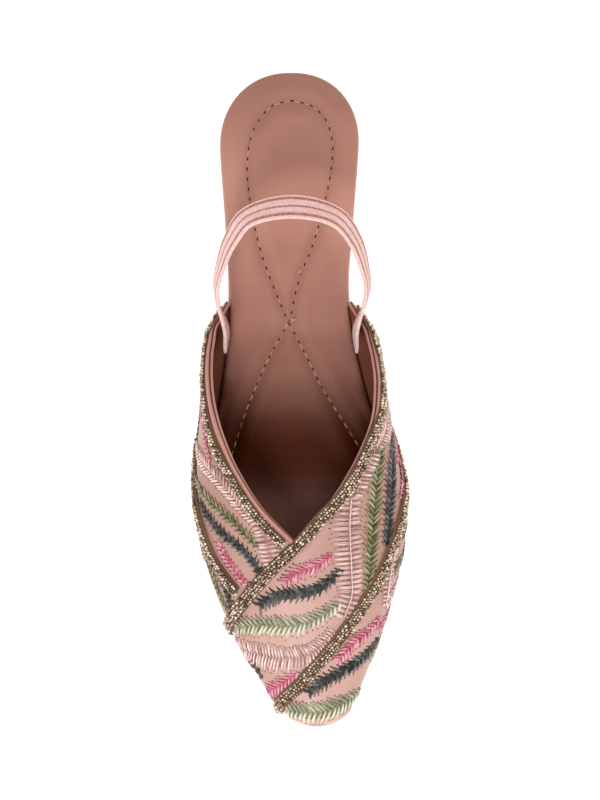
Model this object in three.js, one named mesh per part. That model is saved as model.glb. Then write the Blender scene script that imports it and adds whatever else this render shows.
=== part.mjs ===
// Slingback flat, right shoe. Millimetres, +Z up, toe towards -Y, inner side of the foot towards +X.
// Distances called "at" run from the back of the heel to the toe tip.
import * as THREE from "three";
import { mergeVertices } from "three/addons/utils/BufferGeometryUtils.js";

// Main sizes
const LENGTH = 262;
const HEEL_ROUND = 30;
const HEEL_POWER = 2.2;
const TOE_ROUND = 7;
const GAP = 0.3;
const WALL = 1.8;

// Sole outline and side: centre line, half width, height of the top, taper of the wall down to the floor
const SOLE = [
  { at: 0, centre: 0.5, half: 27.8, seat: 20, taper: 4.6 },
  { at: 30, centre: -0.3, half: 27.8, seat: 19.4, taper: 4.6 },
  { at: 60, centre: -0.4, half: 25.7, seat: 17.4, taper: 4.6 },
  { at: 90, centre: -0.5, half: 24.3, seat: 14.6, taper: 4.4 },
  { at: 105, centre: 0.2, half: 25.8, seat: 12.8, taper: 4 },
  { at: 120, centre: 1, half: 28.5, seat: 11.2, taper: 3.4 },
  { at: 135, centre: 1.8, half: 32.1, seat: 9.7, taper: 2.5 },
  { at: 150, centre: 2.6, half: 36.3, seat: 8.1, taper: 1.8 },
  { at: 165, centre: 3.9, half: 39.5, seat: 6.7, taper: 1.4 },
  { at: 185, centre: 4.8, half: 39.9, seat: 5.6, taper: 1.2 },
  { at: 210, centre: 5.8, half: 33.7, seat: 5.9, taper: 1.1 },
  { at: 235, centre: 7.8, half: 23.8, seat: 7.8, taper: 1 },
  { at: 255, centre: 10.2, half: 13.2, seat: 10.2, taper: 0.9 },
  { at: 262, centre: 10.9, half: 9.2, seat: 11.2, taper: 0.9 },
];
const RIM_HEIGHT = 2.6;
const RIM_STEP = 0.9;
const EDGE_ROUND = 0.5;
const FLOOR_ROUND = 0.9;
const SOLE_STATION_STEP = 6;
const END_STEPS = 7;

// Underside: heel pad and forefoot pad stand on the floor, the waist arches between them, the toe springs up
const HEEL_PAD_TO = 73;
const HEEL_PAD_INSET = 5.4;
const FOREFOOT_PAD_FROM = 140;
const STEP_RUN = 0.8;
const ARCH = [
  { at: 0, lift: 0.8 },
  { at: 64, lift: 0.8 },
  { at: 104, lift: 2.8 },
  { at: FOREFOOT_PAD_FROM, lift: 1.4 },
];
const SPRING_FROM = 200;
const SPRING_RISE = 6.5;
const SPRING_POWER = 1.8;

// Footbed
const FOOTBED = 4;
const FOOTBED_SIDE = 2.2;
const FOOTBED_ROUND = 1.6;
const FOOTBED_INSET = 0.5;
const FOOTBED_INSET_COVERED = WALL + 0.6;
const COVER_FROM = 80;
const COVER_TO = 91;
const DISH = 1.2;
const DISH_INSET = 13;
const CREST_INSET = 6;

// Upper: half width, height of the hip line above the sole, rise of the ridge above that,
// and by how many degrees the wall has already turned inwards where it reaches the hip line
const UPPER = [
  { at: 91, bulge: 25.2, hip: 32, crown: 30, lean: 46 },
  { at: 98, bulge: 28.8, hip: 32, crown: 30, lean: 46 },
  { at: 105, bulge: 32.7, hip: 32, crown: 30, lean: 44 },
  { at: 112, bulge: 34.7, hip: 31.5, crown: 30, lean: 34 },
  { at: 120, bulge: 35.6, hip: 30.5, crown: 30, lean: 22 },
  { at: 135, bulge: 37.4, hip: 26, crown: 30, lean: 10 },
  { at: 150, bulge: 39.7, hip: 20.2, crown: 30, lean: 4 },
  { at: 165, bulge: 41.7, hip: 16.2, crown: 28.3, lean: 0 },
  { at: 185, bulge: 41.2, hip: 12.8, crown: 25, lean: 0 },
  { at: 210, bulge: 35, hip: 9.8, crown: 18.6, lean: 0 },
  { at: 235, bulge: 24.9, hip: 7.9, crown: 12.6, lean: 0 },
  { at: 255, bulge: 14.2, hip: 6.4, crown: 8.8, lean: 0 },
  { at: 262, bulge: 10.2, hip: 6, crown: 7.4, lean: 0 },
];
const WING_END = 91;
const THROAT = 187;
const RIDGE_ANGLE = 86;
const TOE_THIN_FROM = 235;
const UPPER_STATION_STEP = 5;
const UPPER_ROWS = 9;

// Collar line: angle of its edge round each section, up from the hip line on that side
const COLLAR = [
  { at: WING_END, lateral: -57, medial: -57 },
  { at: 98, lateral: -47.5, medial: -48 },
  { at: 106, lateral: -25.5, medial: -27 },
  { at: 114, lateral: -11, medial: -12.7 },
  { at: 122, lateral: 1.7, medial: -0.5 },
  { at: 130, lateral: 15.5, medial: 14.2 },
  { at: 138, lateral: 29, medial: 28.7 },
  { at: 146, lateral: 40, medial: 42 },
  { at: 157, lateral: 51.5, medial: 57 },
  { at: 175, lateral: 69.7, medial: 78.5 },
  { at: THROAT, lateral: RIDGE_ANGLE, medial: 180 - RIDGE_ANGLE },
];
const BINDING_RUN = 3;
const BINDING_SEAM = 0.6;
const BINDING_CORNER = 0.1;
const BINDING_PROUD = 0.25;
const BINDING_ROWS = 2;
const BINDING_STATION_STEP = 4;

// Bead trims on the upper: section, angle of the two along the collar, and routes over the vamp
const TRIM_WIDTH = 4.6;
const TRIM_HEIGHT = 1.8;
const TRIM_GAP = GAP + BINDING_PROUD;
const TRIM_SHOULDER = 0.6;
const TRIM_CROWN = 0.5;
const TRIM_STEP = 4.5;
const COLLAR_TRIM = [
  { at: 95, lateral: -60, medial: -60 },
  { at: 102, lateral: -44, medial: -45 },
  { at: 110, lateral: -25.5, medial: -26.5 },
  { at: 118, lateral: -12.8, medial: -14 },
  { at: 126, lateral: -1.5, medial: -1 },
  { at: 134, lateral: 11, medial: 14 },
  { at: 146, lateral: 30, medial: 38 },
  { at: 154, lateral: 41, medial: 49 },
  { at: 162, lateral: 50.5, medial: 58.6 },
  { at: 170, lateral: 58, medial: 68 },
  { at: 178, lateral: 66, medial: 79 },
  { at: 188, lateral: 78.5, medial: 91.5 },
];
const MM_PER_DEGREE = 0.65;
const WRAP_FRONT = [
  { at: 191.5, around: 83 },
  { at: 198.5, around: 71 },
  { at: 205, around: 59.5 },
  { at: 212, around: 44 },
  { at: 218, around: 24 },
  { at: 221.5, around: 5 },
  { at: 223, around: -8 },
];
const TOE_ROUTE = [
  { at: 134.5, around: 216 },
  { at: 142, around: 203 },
  { at: 152, around: 188 },
  { at: 166, around: 175 },
  { at: 186, around: 155 },
  { at: 199, around: 146 },
  { at: 212, around: 134 },
  { at: 223, around: 121 },
  { at: 233.5, around: 104 },
  { at: 244, around: 79 },
  { at: 250, around: 49 },
  { at: 253.5, around: 20 },
  { at: 254.5, around: 5 },
];
const SIDE_ROUTE = [
  { at: 136.5, around: -35 },
  { at: 144, around: -20 },
  { at: 154, around: -6 },
  { at: 166, around: 3.5 },
  { at: 180, around: 14.5 },
  { at: 194, around: 25 },
  { at: 202, around: 34 },
  { at: 207.3, around: 41 },
];

// Sling strap: middle line on each side, height above the floor, lean of the band towards the foot
const STRAP_WIDTH = 12;
const STRAP_THICK = 1.6;
const STRAP_CHAMFER = 0.4;
const STRAP_STEPS = 40;
const STRAP_SIDE = [
  { at: 108, lateral: -25.3, medial: 26.1, height: 21.8, lean: -10 },
  { at: 103, lateral: -25.8, medial: 26.6, height: 27.4, lean: -8 },
  { at: 98, lateral: -27.2, medial: 28, height: 32.8, lean: -3 },
  { at: 93, lateral: -28.7, medial: 29.7, height: 36.6, lean: 2 },
  { at: 86, lateral: -29.2, medial: 30.8, height: 40.8, lean: 9 },
  { at: 79, lateral: -27.8, medial: 29.7, height: 44.6, lean: 17 },
  { at: 68, lateral: -23.6, medial: 25.8, height: 50.7, lean: 29 },
  { at: 59, lateral: -16.6, medial: 18.2, height: 56.5, lean: 42 },
];
const STRAP_MIDDLE = { at: 55, across: 0.8, height: 59.5, lean: 52 };

// Smooth curve through one column of a table
function column(table, name) {
  const at = table.map((row) => row.at);
  const value = table.map((row) => row[name]);
  const run = at.slice(1).map((x, i) => x - at[i]);
  const rise = run.map((h, i) => (value[i + 1] - value[i]) / h);
  const slope = value.map((_, i) => {
    if (i === 0) return rise[0];
    if (i === rise.length) return rise[i - 1];
    return (run[i] * rise[i - 1] + run[i - 1] * rise[i]) / (run[i - 1] + run[i]);
  });
  return (s) => {
    const x = THREE.MathUtils.clamp(s, at[0], at[at.length - 1]);
    let i = 0;
    while (i < run.length - 1 && x > at[i + 1]) i += 1;
    const t = (x - at[i]) / run[i];
    const bend = slope[i] * (1 - t) - slope[i + 1] * t;
    const chord = rise[i] * (1 - 2 * t);
    return value[i] + t * (value[i + 1] - value[i]) + t * (1 - t) * run[i] * (bend - chord);
  };
}

const centre = column(SOLE, "centre");
const soleHalf = column(SOLE, "half");
const seat = column(SOLE, "seat");
const taper = column(SOLE, "taper");
const arch = column(ARCH, "lift");
const bulge = column(UPPER, "bulge");
const hip = column(UPPER, "hip");
const crown = column(UPPER, "crown");
const lean = column(UPPER, "lean");
const collarOn = { lateral: column(COLLAR, "lateral"), medial: column(COLLAR, "medial") };

const yOf = (s) => LENGTH / 2 - s;
const sOf = (y) => LENGTH / 2 - y;

// Rounding of the outline at both ends, as a factor on the half width
function endRound(s, tip = LENGTH) {
  const toe = Math.max(0, (s - tip + TOE_ROUND) / TOE_ROUND);
  const heel = Math.max(0, (HEEL_ROUND - s) / HEEL_ROUND);
  const toeFactor = Math.sqrt(Math.max(0, 1 - toe ** 2));
  const heelFactor = Math.max(0, 1 - heel ** HEEL_POWER) ** (1 / HEEL_POWER);
  return toeFactor * heelFactor;
}

function spread(from, to, step) {
  const count = Math.max(1, Math.round((to - from) / step));
  return Array.from({ length: count + 1 }, (_, i) => from + ((to - from) * i) / count);
}

// Stations that crowd together where an end rounds off
function toeStations(from) {
  return Array.from({ length: END_STEPS }, (_, i) => {
    const turn = ((i + 1) / END_STEPS) * (Math.PI / 2);
    return from + (LENGTH - from) * Math.sin(turn);
  });
}

function heelStations() {
  return Array.from({ length: END_STEPS }, (_, i) => {
    const turn = (i / END_STEPS) * (Math.PI / 2);
    return HEEL_ROUND * (1 - Math.cos(turn));
  });
}

// One closed body from shared points and triangles
function body(name, points, triangles, look) {
  const geometry = new THREE.BufferGeometry();
  geometry.setAttribute("position", new THREE.Float32BufferAttribute(points.flatMap((p) => p.toArray()), 3));
  geometry.setIndex(triangles.flat());
  const welded = mergeVertices(geometry, 1e-3);
  const index = Array.from(welded.getIndex().array);
  const kept = [];
  for (let i = 0; i < index.length; i += 3) {
    const [a, b, c] = index.slice(i, i + 3);
    if (a !== b && b !== c && c !== a) kept.push(a, b, c);
  }
  welded.setIndex(kept);
  welded.computeVertexNormals();
  const mesh = new THREE.Mesh(welded, new THREE.MeshStandardMaterial(look));
  mesh.name = name;
  return mesh;
}

const quad = (a, b, c, d) => [[a, b, c], [a, c, d]];

// Outline of the sole from the heel round the outer side to the toe and back along the inner side
function soleOutline() {
  const steps = [HEEL_PAD_TO, HEEL_PAD_TO + STEP_RUN, FOREFOOT_PAD_FROM - STEP_RUN, FOREFOOT_PAD_FROM];
  const between = [
    ...spread(HEEL_ROUND, steps[0], SOLE_STATION_STEP),
    ...spread(steps[1], steps[2], SOLE_STATION_STEP),
    ...spread(steps[3], LENGTH - TOE_ROUND, SOLE_STATION_STEP),
  ];
  const stations = [...heelStations(), ...between, ...toeStations(LENGTH - TOE_ROUND)];
  const side = (sign) => (s) => ({ x: centre(s) + sign * soleHalf(s) * endRound(s), y: yOf(s) });
  const inner = stations.slice(1, -1).reverse();
  const points = [...stations.map(side(-1)), ...inner.map(side(1))];
  return points.map((p, i) => {
    const before = points[(i + points.length - 1) % points.length];
    const after = points[(i + 1) % points.length];
    const run = Math.hypot(after.x - before.x, after.y - before.y);
    return { ...p, inX: -(after.y - before.y) / run, inY: (after.x - before.x) / run };
  });
}

// A ring that follows the outline, moved in by inset and set at a height
function ring(outline, inset, height) {
  return outline.map((p) => {
    const move = inset(sOf(p.y));
    const y = p.y + p.inY * move;
    return new THREE.Vector3(p.x + p.inX * move, y, height(sOf(y)));
  });
}

// A body from rings stacked upwards, closed below and above by rungs from side to side
function ringBody(name, rings, look) {
  const count = rings[0].length;
  const toe = count / 2;
  const triangles = [];
  for (let r = 0; r + 1 < rings.length; r += 1) {
    for (let i = 0; i < count; i += 1) {
      const next = (i + 1) % count;
      triangles.push(...quad(r * count + i, r * count + next, (r + 1) * count + next, (r + 1) * count + i));
    }
  }
  const top = (rings.length - 1) * count;
  for (let k = 0; k < toe; k += 1) {
    const outer = [k, k + 1];
    const inner = [(count - k) % count, count - k - 1];
    triangles.push(...quad(inner[0], inner[1], outer[1], outer[0]));
    triangles.push(...quad(top + outer[0], top + outer[1], top + inner[1], top + inner[0]));
  }
  return body(name, rings.flat(), triangles, look);
}

// Heights of the underside
function floorEdge(s) {
  if (s < FOREFOOT_PAD_FROM - STEP_RUN / 2) return arch(s);
  const spring = Math.max(0, (s - SPRING_FROM) / (LENGTH - SPRING_FROM));
  return SPRING_RISE * spring ** SPRING_POWER;
}

function floorPad(s) {
  return s < HEEL_PAD_TO + STEP_RUN / 2 ? 0 : floorEdge(s);
}

function outsole(look) {
  const outline = soleOutline();
  const atEdge = (extra) => (s) => taper(s) + extra;
  const rimFoot = (s) => seat(s) - RIM_HEIGHT;
  return ringBody("outsole", [
    ring(outline, atEdge(HEEL_PAD_INSET), floorPad),
    ring(outline, atEdge(HEEL_PAD_INSET - EDGE_ROUND), floorEdge),
    ring(outline, atEdge(FLOOR_ROUND), floorEdge),
    ring(outline, atEdge(0), (s) => floorEdge(s) + FLOOR_ROUND),
    ring(outline, () => RIM_STEP, (s) => rimFoot(s) - EDGE_ROUND),
    ring(outline, () => 0, rimFoot),
    ring(outline, () => 0, (s) => seat(s) - EDGE_ROUND),
    ring(outline, () => EDGE_ROUND, seat),
  ], look);
}

function insole(look) {
  const outline = soleOutline();
  const cover = (s) => THREE.MathUtils.smoothstep(s, COVER_FROM, COVER_TO);
  const edge = (extra) => (s) => THREE.MathUtils.lerp(FOOTBED_INSET, FOOTBED_INSET_COVERED, cover(s)) + extra;
  const lift = (height) => (s) => seat(s) + GAP + height;
  const dish = (s) => FOOTBED - DISH * (1 - THREE.MathUtils.smoothstep(s, HEEL_PAD_TO, FOREFOOT_PAD_FROM));
  return ringBody("insole", [
    ring(outline, edge(0), lift(0)),
    ring(outline, edge(0), lift(FOOTBED_SIDE)),
    ring(outline, edge(FOOTBED_ROUND / 3), lift(FOOTBED - FOOTBED_ROUND / 3)),
    ring(outline, edge(FOOTBED_ROUND), lift(FOOTBED)),
    ring(outline, edge(CREST_INSET), lift(FOOTBED)),
    ring(outline, edge(DISH_INSET), (s) => seat(s) + GAP + dish(s)),
  ], look);
}

// How far, in degrees, the wall runs below the hip line to reach the sole
function foldAngle(s, depth) {
  return THREE.MathUtils.radToDeg(Math.acos((soleHalf(s) - depth) / (bulge(s) - depth))) + lean(s);
}

// Stations of the inside stop short of the toe by the wall
function insideStation(s, depth) {
  if (s < TOE_THIN_FROM) return s;
  return TOE_THIN_FROM + ((s - TOE_THIN_FROM) * (LENGTH - depth - TOE_THIN_FROM)) / (LENGTH - TOE_THIN_FROM);
}

// Point on the upper: the angle runs from the outer side over the ridge to the inner side,
// and depth goes into the wall
function onUpper(at, angle, depth = 0) {
  const s = insideStation(at, depth);
  const round = endRound(s, LENGTH - depth);
  const turn = THREE.MathUtils.degToRad(angle);
  const fold = THREE.MathUtils.degToRad(foldAngle(s, depth));
  const below = angle < 0 || angle > 180;
  const rise = below ? hip(s) / Math.sin(fold) : (crown(s) - depth) * round;
  const inward = THREE.MathUtils.degToRad(lean(s)) * (1 - THREE.MathUtils.smoothstep(Math.sin(turn), 0, 1));
  const width = Math.cos(angle > 90 ? turn - inward : turn + inward);
  const x = centre(s) - (bulge(s) - depth) * round * width;
  return new THREE.Vector3(x, yOf(s), seat(s) + GAP + hip(s) + rise * Math.sin(turn));
}

// Outward direction of the upper at a point
function upperNormal(at, angle) {
  const reach = 0.4;
  const s = Math.min(at, LENGTH - TOE_ROUND / 2);
  const along = onUpper(s + reach, angle).sub(onUpper(s - reach, angle));
  const across = onUpper(s, angle + reach).sub(onUpper(s, angle - reach));
  return along.cross(across).normalize();
}

// Angle of the collar edge, moved towards the toe by a run
function collarAngle(side, at, run) {
  const ridge = side === "lateral" ? RIDGE_ANGLE : 180 - RIDGE_ANGLE;
  return at - run >= THROAT ? ridge : collarOn[side](at - run);
}

// Columns of points up the wall, from the outer wing round the toe to the inner wing
function wallColumns(stations, rows, low, high, closedFrom, depths) {
  const columnAt = (side) => (s) => {
    const skins = depths.map((depth) => {
      const start = Math.max(-foldAngle(insideStation(s, Math.max(depth, 0)), depth), low(side, s));
      const end = high(side, s);
      return Array.from({ length: rows + 1 }, (_, i) => {
        const angle = start + ((end - start) * i) / rows;
        return onUpper(s, side === "lateral" ? angle : 180 - angle, depth);
      });
    });
    return { outer: skins[0], inner: skins[1], closed: s >= closedFrom };
  };
  const back = stations.slice(0, -1).reverse();
  return [...stations.map(columnAt("lateral")), ...back.map(columnAt("medial"))];
}

// A hollow wall from columns: outside, inside and the edges between them
function wallBody(name, columns, look) {
  const rows = columns[0].outer.length - 1;
  const outer = (j, i) => j * 2 * (rows + 1) + i;
  const inner = (j, i) => outer(j, i) + rows + 1;
  const triangles = [];
  for (let j = 0; j + 1 < columns.length; j += 1) {
    for (let i = 0; i < rows; i += 1) {
      triangles.push(...quad(outer(j, i), outer(j + 1, i), outer(j + 1, i + 1), outer(j, i + 1)));
      triangles.push(...quad(inner(j, i), inner(j, i + 1), inner(j + 1, i + 1), inner(j + 1, i)));
    }
    triangles.push(...quad(outer(j, 0), inner(j, 0), inner(j + 1, 0), outer(j + 1, 0)));
    if (columns[j].closed && columns[j + 1].closed) continue;
    triangles.push(...quad(outer(j, rows), outer(j + 1, rows), inner(j + 1, rows), inner(j, rows)));
  }
  const end = columns.length - 1;
  for (let i = 0; i < rows; i += 1) {
    triangles.push(...quad(outer(0, i), outer(0, i + 1), inner(0, i + 1), inner(0, i)));
    triangles.push(...quad(outer(end, i), inner(end, i), inner(end, i + 1), outer(end, i + 1)));
  }
  return body(name, columns.flatMap((c) => [...c.outer, ...c.inner]), triangles, look);
}

function upper(look) {
  const throat = THROAT + BINDING_RUN;
  const stations = [
    ...spread(WING_END + BINDING_RUN, throat, UPPER_STATION_STEP),
    ...spread(throat, LENGTH - TOE_ROUND, UPPER_STATION_STEP).slice(1),
    ...toeStations(LENGTH - TOE_ROUND),
  ];
  const low = () => -90;
  const high = (side, s) => collarAngle(side, s, BINDING_RUN);
  return wallBody("upper", wallColumns(stations, UPPER_ROWS, low, high, throat, [0, WALL]), look);
}

function toplineBinding(look) {
  const run = BINDING_RUN - BINDING_SEAM;
  const corner = WING_END + run;
  const stations = [
    WING_END,
    corner - BINDING_CORNER,
    ...spread(corner, THROAT, BINDING_STATION_STEP),
    ...spread(THROAT, THROAT + run, BINDING_STATION_STEP / 3).slice(1),
  ];
  const low = (side, s) => (s < corner ? -90 : collarAngle(side, s, run));
  const high = (side, s) => collarAngle(side, s, 0);
  const depths = [-BINDING_PROUD, WALL + BINDING_PROUD];
  return wallBody("topline_binding", wallColumns(stations, BINDING_ROWS, low, high, THROAT, depths), look);
}

// A raised strip that follows a route over the upper
function trim(name, route, look) {
  const chart = route.map((row) => new THREE.Vector3(row.at, row.around * MM_PER_DEGREE, 0));
  const curve = new THREE.CatmullRomCurve3(chart, false, "centripetal");
  const count = Math.ceil(curve.getLength() / TRIM_STEP);
  const spots = curve.getSpacedPoints(count).map((p) => ({ at: p.x, around: p.y / MM_PER_DEGREE }));
  const ground = spots.map((spot) => onUpper(spot.at, spot.around));
  const half = TRIM_WIDTH / 2;
  const profile = [
    [-half, 0],
    [half, 0],
    [half, TRIM_HEIGHT * TRIM_SHOULDER],
    [half * TRIM_CROWN, TRIM_HEIGHT],
    [-half * TRIM_CROWN, TRIM_HEIGHT],
    [-half, TRIM_HEIGHT * TRIM_SHOULDER],
  ];
  const rings = spots.map((spot, i) => {
    const ahead = ground[Math.min(i + 1, count)].clone().sub(ground[Math.max(i - 1, 0)]).normalize();
    const up = upperNormal(spot.at, spot.around);
    const beside = up.clone().cross(ahead).normalize();
    return profile.map(([across, height]) => ground[i].clone()
      .addScaledVector(beside, across)
      .addScaledVector(up, TRIM_GAP + height));
  });
  return sweptBody(name, rings, look);
}

// A body from sections along a route, closed at both ends
function sweptBody(name, rings, look) {
  const count = rings[0].length;
  const triangles = [];
  for (let r = 0; r + 1 < rings.length; r += 1) {
    for (let i = 0; i < count; i += 1) {
      const next = (i + 1) % count;
      triangles.push(...quad(r * count + i, r * count + next, (r + 1) * count + next, (r + 1) * count + i));
    }
  }
  const last = (rings.length - 1) * count;
  for (let i = 1; i + 1 < count; i += 1) {
    triangles.push([0, i + 1, i], [last, last + i, last + i + 1]);
  }
  return body(name, rings.flat(), triangles, look);
}

// Route of a trim that runs along the collar
function collarRoute(side) {
  const around = (row) => (side === "lateral" ? row.lateral : 180 - row.medial);
  return COLLAR_TRIM.map((row) => ({ at: row.at, around: around(row) }));
}

function slingStrap(look) {
  const outer = STRAP_SIDE.map((row) => ({ ...row, across: row.lateral }));
  const inner = STRAP_SIDE.map((row) => ({ ...row, across: row.medial })).reverse();
  const rows = [...outer, STRAP_MIDDLE, ...inner];
  const places = rows.map((row) => new THREE.Vector3(row.across, yOf(row.at), row.height));
  const line = new THREE.CatmullRomCurve3(places);
  const leans = new THREE.CatmullRomCurve3(rows.map((row, i) => new THREE.Vector3(i, row.lean, 0)));
  const half = STRAP_WIDTH / 2;
  const thick = STRAP_THICK / 2;
  const profile = [
    [thick, half - STRAP_CHAMFER],
    [thick - STRAP_CHAMFER, half],
    [STRAP_CHAMFER - thick, half],
    [-thick, half - STRAP_CHAMFER],
    [-thick, STRAP_CHAMFER - half],
    [STRAP_CHAMFER - thick, -half],
    [thick - STRAP_CHAMFER, -half],
    [thick, STRAP_CHAMFER - half],
  ];
  const rings = Array.from({ length: STRAP_STEPS + 1 }, (_, i) => {
    const t = i / STRAP_STEPS;
    const ahead = line.getTangent(t);
    const up = new THREE.Vector3(0, 0, 1).addScaledVector(ahead, -ahead.z).normalize();
    const out = up.clone().cross(ahead).normalize();
    const lean = THREE.MathUtils.degToRad(leans.getPoint(t).y);
    const wide = up.clone().multiplyScalar(Math.cos(lean)).addScaledVector(out, -Math.sin(lean));
    const face = out.clone().multiplyScalar(Math.cos(lean)).addScaledVector(up, Math.sin(lean));
    return profile.map(([through, across]) => line.getPoint(t)
      .addScaledVector(face, through)
      .addScaledVector(wide, across));
  });
  return sweptBody("sling_strap", rings, look);
}

// Colours and finish
const RUBBER = { color: 0xd9b3ab, roughness: 0.6, metalness: 0 };
const PADDED = { color: 0xb88070, roughness: 0.55, metalness: 0 };
const LEATHER = { color: 0xd6aa9b, roughness: 0.5, metalness: 0 };
const FOLDED = { color: 0xcf9f92, roughness: 0.5, metalness: 0 };
const BEADS = { color: 0xc8af8c, roughness: 0.3, metalness: 0.3 };
const ELASTIC = { color: 0xf0c8be, roughness: 0.8, metalness: 0 };

const shoe = new THREE.Group();
shoe.add(
  outsole(RUBBER),
  insole(PADDED),
  upper(LEATHER),
  toplineBinding(FOLDED),
  trim("trim_wrap", [...collarRoute("medial"), ...WRAP_FRONT], BEADS),
  trim("trim_lateral_collar", collarRoute("lateral"), BEADS),
  trim("trim_toe", TOE_ROUTE, BEADS),
  trim("trim_lateral_side", SIDE_ROUTE, BEADS),
  slingStrap(ELASTIC),
);

// Origin on the floor under the middle of the shoe
const box = new THREE.Box3().setFromObject(shoe);
const middle = box.getCenter(new THREE.Vector3());
shoe.children.forEach((mesh) => mesh.geometry.translate(-middle.x, -middle.y, -box.min.z));

export default shoe;
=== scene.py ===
import math

import bpy
import numpy as np
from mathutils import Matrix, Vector


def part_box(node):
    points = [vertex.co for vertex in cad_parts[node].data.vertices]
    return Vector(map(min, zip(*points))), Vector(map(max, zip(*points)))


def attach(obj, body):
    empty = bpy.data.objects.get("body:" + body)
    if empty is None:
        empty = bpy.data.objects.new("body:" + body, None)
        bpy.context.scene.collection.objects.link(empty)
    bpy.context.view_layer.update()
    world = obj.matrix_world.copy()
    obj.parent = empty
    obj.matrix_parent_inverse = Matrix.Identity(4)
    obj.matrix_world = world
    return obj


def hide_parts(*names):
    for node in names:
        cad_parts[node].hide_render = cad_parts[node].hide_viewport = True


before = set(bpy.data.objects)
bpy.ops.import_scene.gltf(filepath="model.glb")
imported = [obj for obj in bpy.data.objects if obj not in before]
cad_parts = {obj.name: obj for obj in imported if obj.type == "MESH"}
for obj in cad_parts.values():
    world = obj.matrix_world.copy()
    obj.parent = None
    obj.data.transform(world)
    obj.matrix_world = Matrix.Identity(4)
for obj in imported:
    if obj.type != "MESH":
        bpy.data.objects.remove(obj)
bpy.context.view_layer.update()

MM = 0.001
TINY = 1e-9
rng = np.random.default_rng(7)

# Shape of the last, in millimetres; "at" runs from the back of the heel to the toe tip
LENGTH = 262
HEEL_ROUND = 30
HEEL_POWER = 2.2
TOE_ROUND = 7
GAP = 0.3
WALL = 1.8


def table(header, *values):
    return dict(zip(header.split(), np.array(values, float).T))


SOLE = table(
    "at centre half seat taper",
    (0, 0.5, 27.8, 20, 4.6),
    (30, -0.3, 27.8, 19.4, 4.6),
    (60, -0.4, 25.7, 17.4, 4.6),
    (90, -0.5, 24.3, 14.6, 4.4),
    (105, 0.2, 25.8, 12.8, 4),
    (120, 1, 28.5, 11.2, 3.4),
    (135, 1.8, 32.1, 9.7, 2.5),
    (150, 2.6, 36.3, 8.1, 1.8),
    (165, 3.9, 39.5, 6.7, 1.4),
    (185, 4.8, 39.9, 5.6, 1.2),
    (210, 5.8, 33.7, 5.9, 1.1),
    (235, 7.8, 23.8, 7.8, 1),
    (255, 10.2, 13.2, 10.2, 0.9),
    (262, 10.9, 9.2, 11.2, 0.9),
)
UPPER = table(
    "at bulge hip crown lean",
    (91, 25.2, 32, 30, 46),
    (98, 28.8, 32, 30, 46),
    (105, 32.7, 32, 30, 44),
    (112, 34.7, 31.5, 30, 34),
    (120, 35.6, 30.5, 30, 22),
    (135, 37.4, 26, 30, 10),
    (150, 39.7, 20.2, 30, 4),
    (165, 41.7, 16.2, 28.3, 0),
    (185, 41.2, 12.8, 25, 0),
    (210, 35, 9.8, 18.6, 0),
    (235, 24.9, 7.9, 12.6, 0),
    (255, 14.2, 6.4, 8.8, 0),
    (262, 10.2, 6, 7.4, 0),
)
WING_END = 91
THROAT = 187
RIDGE_ANGLE = 86
TOE_THIN_FROM = 235
COLLAR = table(
    "at lateral medial",
    (WING_END, -57, -57),
    (98, -47.5, -48),
    (106, -25.5, -27),
    (114, -11, -12.7),
    (122, 1.7, -0.5),
    (130, 15.5, 14.2),
    (138, 29, 28.7),
    (146, 40, 42),
    (157, 51.5, 57),
    (175, 69.7, 78.5),
    (THROAT, RIDGE_ANGLE, 180 - RIDGE_ANGLE),
)
HEEL_PAD_TO = 73
HEEL_PAD_INSET = 5.4
FORE_PAD_FROM = 140
STEP_RUN = 0.8
ARCH = table("at lift", (0, 0.8), (64, 0.8), (104, 2.8), (FORE_PAD_FROM, 1.4))
SPRING_FROM = 200
SPRING_RISE = 6.5
SPRING_POWER = 1.8

# Photo frame: pixels of the 600 x 800 picture, heel back and scale of the shoe seen from above
PHOTO_HEEL = (150, 75)
PHOTO_SCALE = 2.5
HALVINGS = 30


def curve(at, value):
    """Smooth curve through values at given places."""
    run = np.diff(at)
    rise = np.diff(value) / run
    mean = (run[1:] * rise[:-1] + run[:-1] * rise[1:]) / (run[:-1] + run[1:])
    slope = np.concatenate([rise[:1], mean, rise[-1:]])

    def read(s):
        x = np.clip(s, at[0], at[-1])
        i = np.clip(np.searchsorted(at, x) - 1, 0, len(run) - 1)
        t = (x - at[i]) / run[i]
        bend = slope[i] * (1 - t) - slope[i + 1] * t
        chord = rise[i] * (1 - 2 * t)
        return value[i] + t * (value[i + 1] - value[i]) + t * (1 - t) * run[i] * (bend - chord)

    return read


def curves(rows):
    return {name: curve(rows["at"], column) for name, column in rows.items() if name != "at"}


centre, sole_half, seat, taper = curves(SOLE).values()
bulge, hip, crown, lean = curves(UPPER).values()
(arch,) = curves(ARCH).values()
collar_on = curves(COLLAR)


def end_round(s, tip=LENGTH):
    """Share of the width that is left near the rounded heel and toe."""
    toe = np.maximum(0, (s - tip + TOE_ROUND) / TOE_ROUND)
    heel = np.maximum(0, (HEEL_ROUND - s) / HEEL_ROUND)
    return np.sqrt(np.maximum(0, 1 - toe**2)) * np.maximum(0, 1 - heel**HEEL_POWER) ** (1 / HEEL_POWER)


# Across the shoe the row frame is centred on the whole part
DENSE = np.linspace(0, LENGTH, 2000)
MIDDLE = (centre(DENSE) - sole_half(DENSE) * end_round(DENSE)).min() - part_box("outsole")[0].x / MM


def station(y):
    """Place along the shoe from a row-frame y, and the y from a place along."""
    return LENGTH / 2 - y


def row_point(x, s, z):
    """Row-frame millimetres from a place across, along and above the floor."""
    x, s, z = np.broadcast_arrays(x, s, z)
    return np.stack([x - MIDDLE, station(s), z], -1).astype(float)


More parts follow.
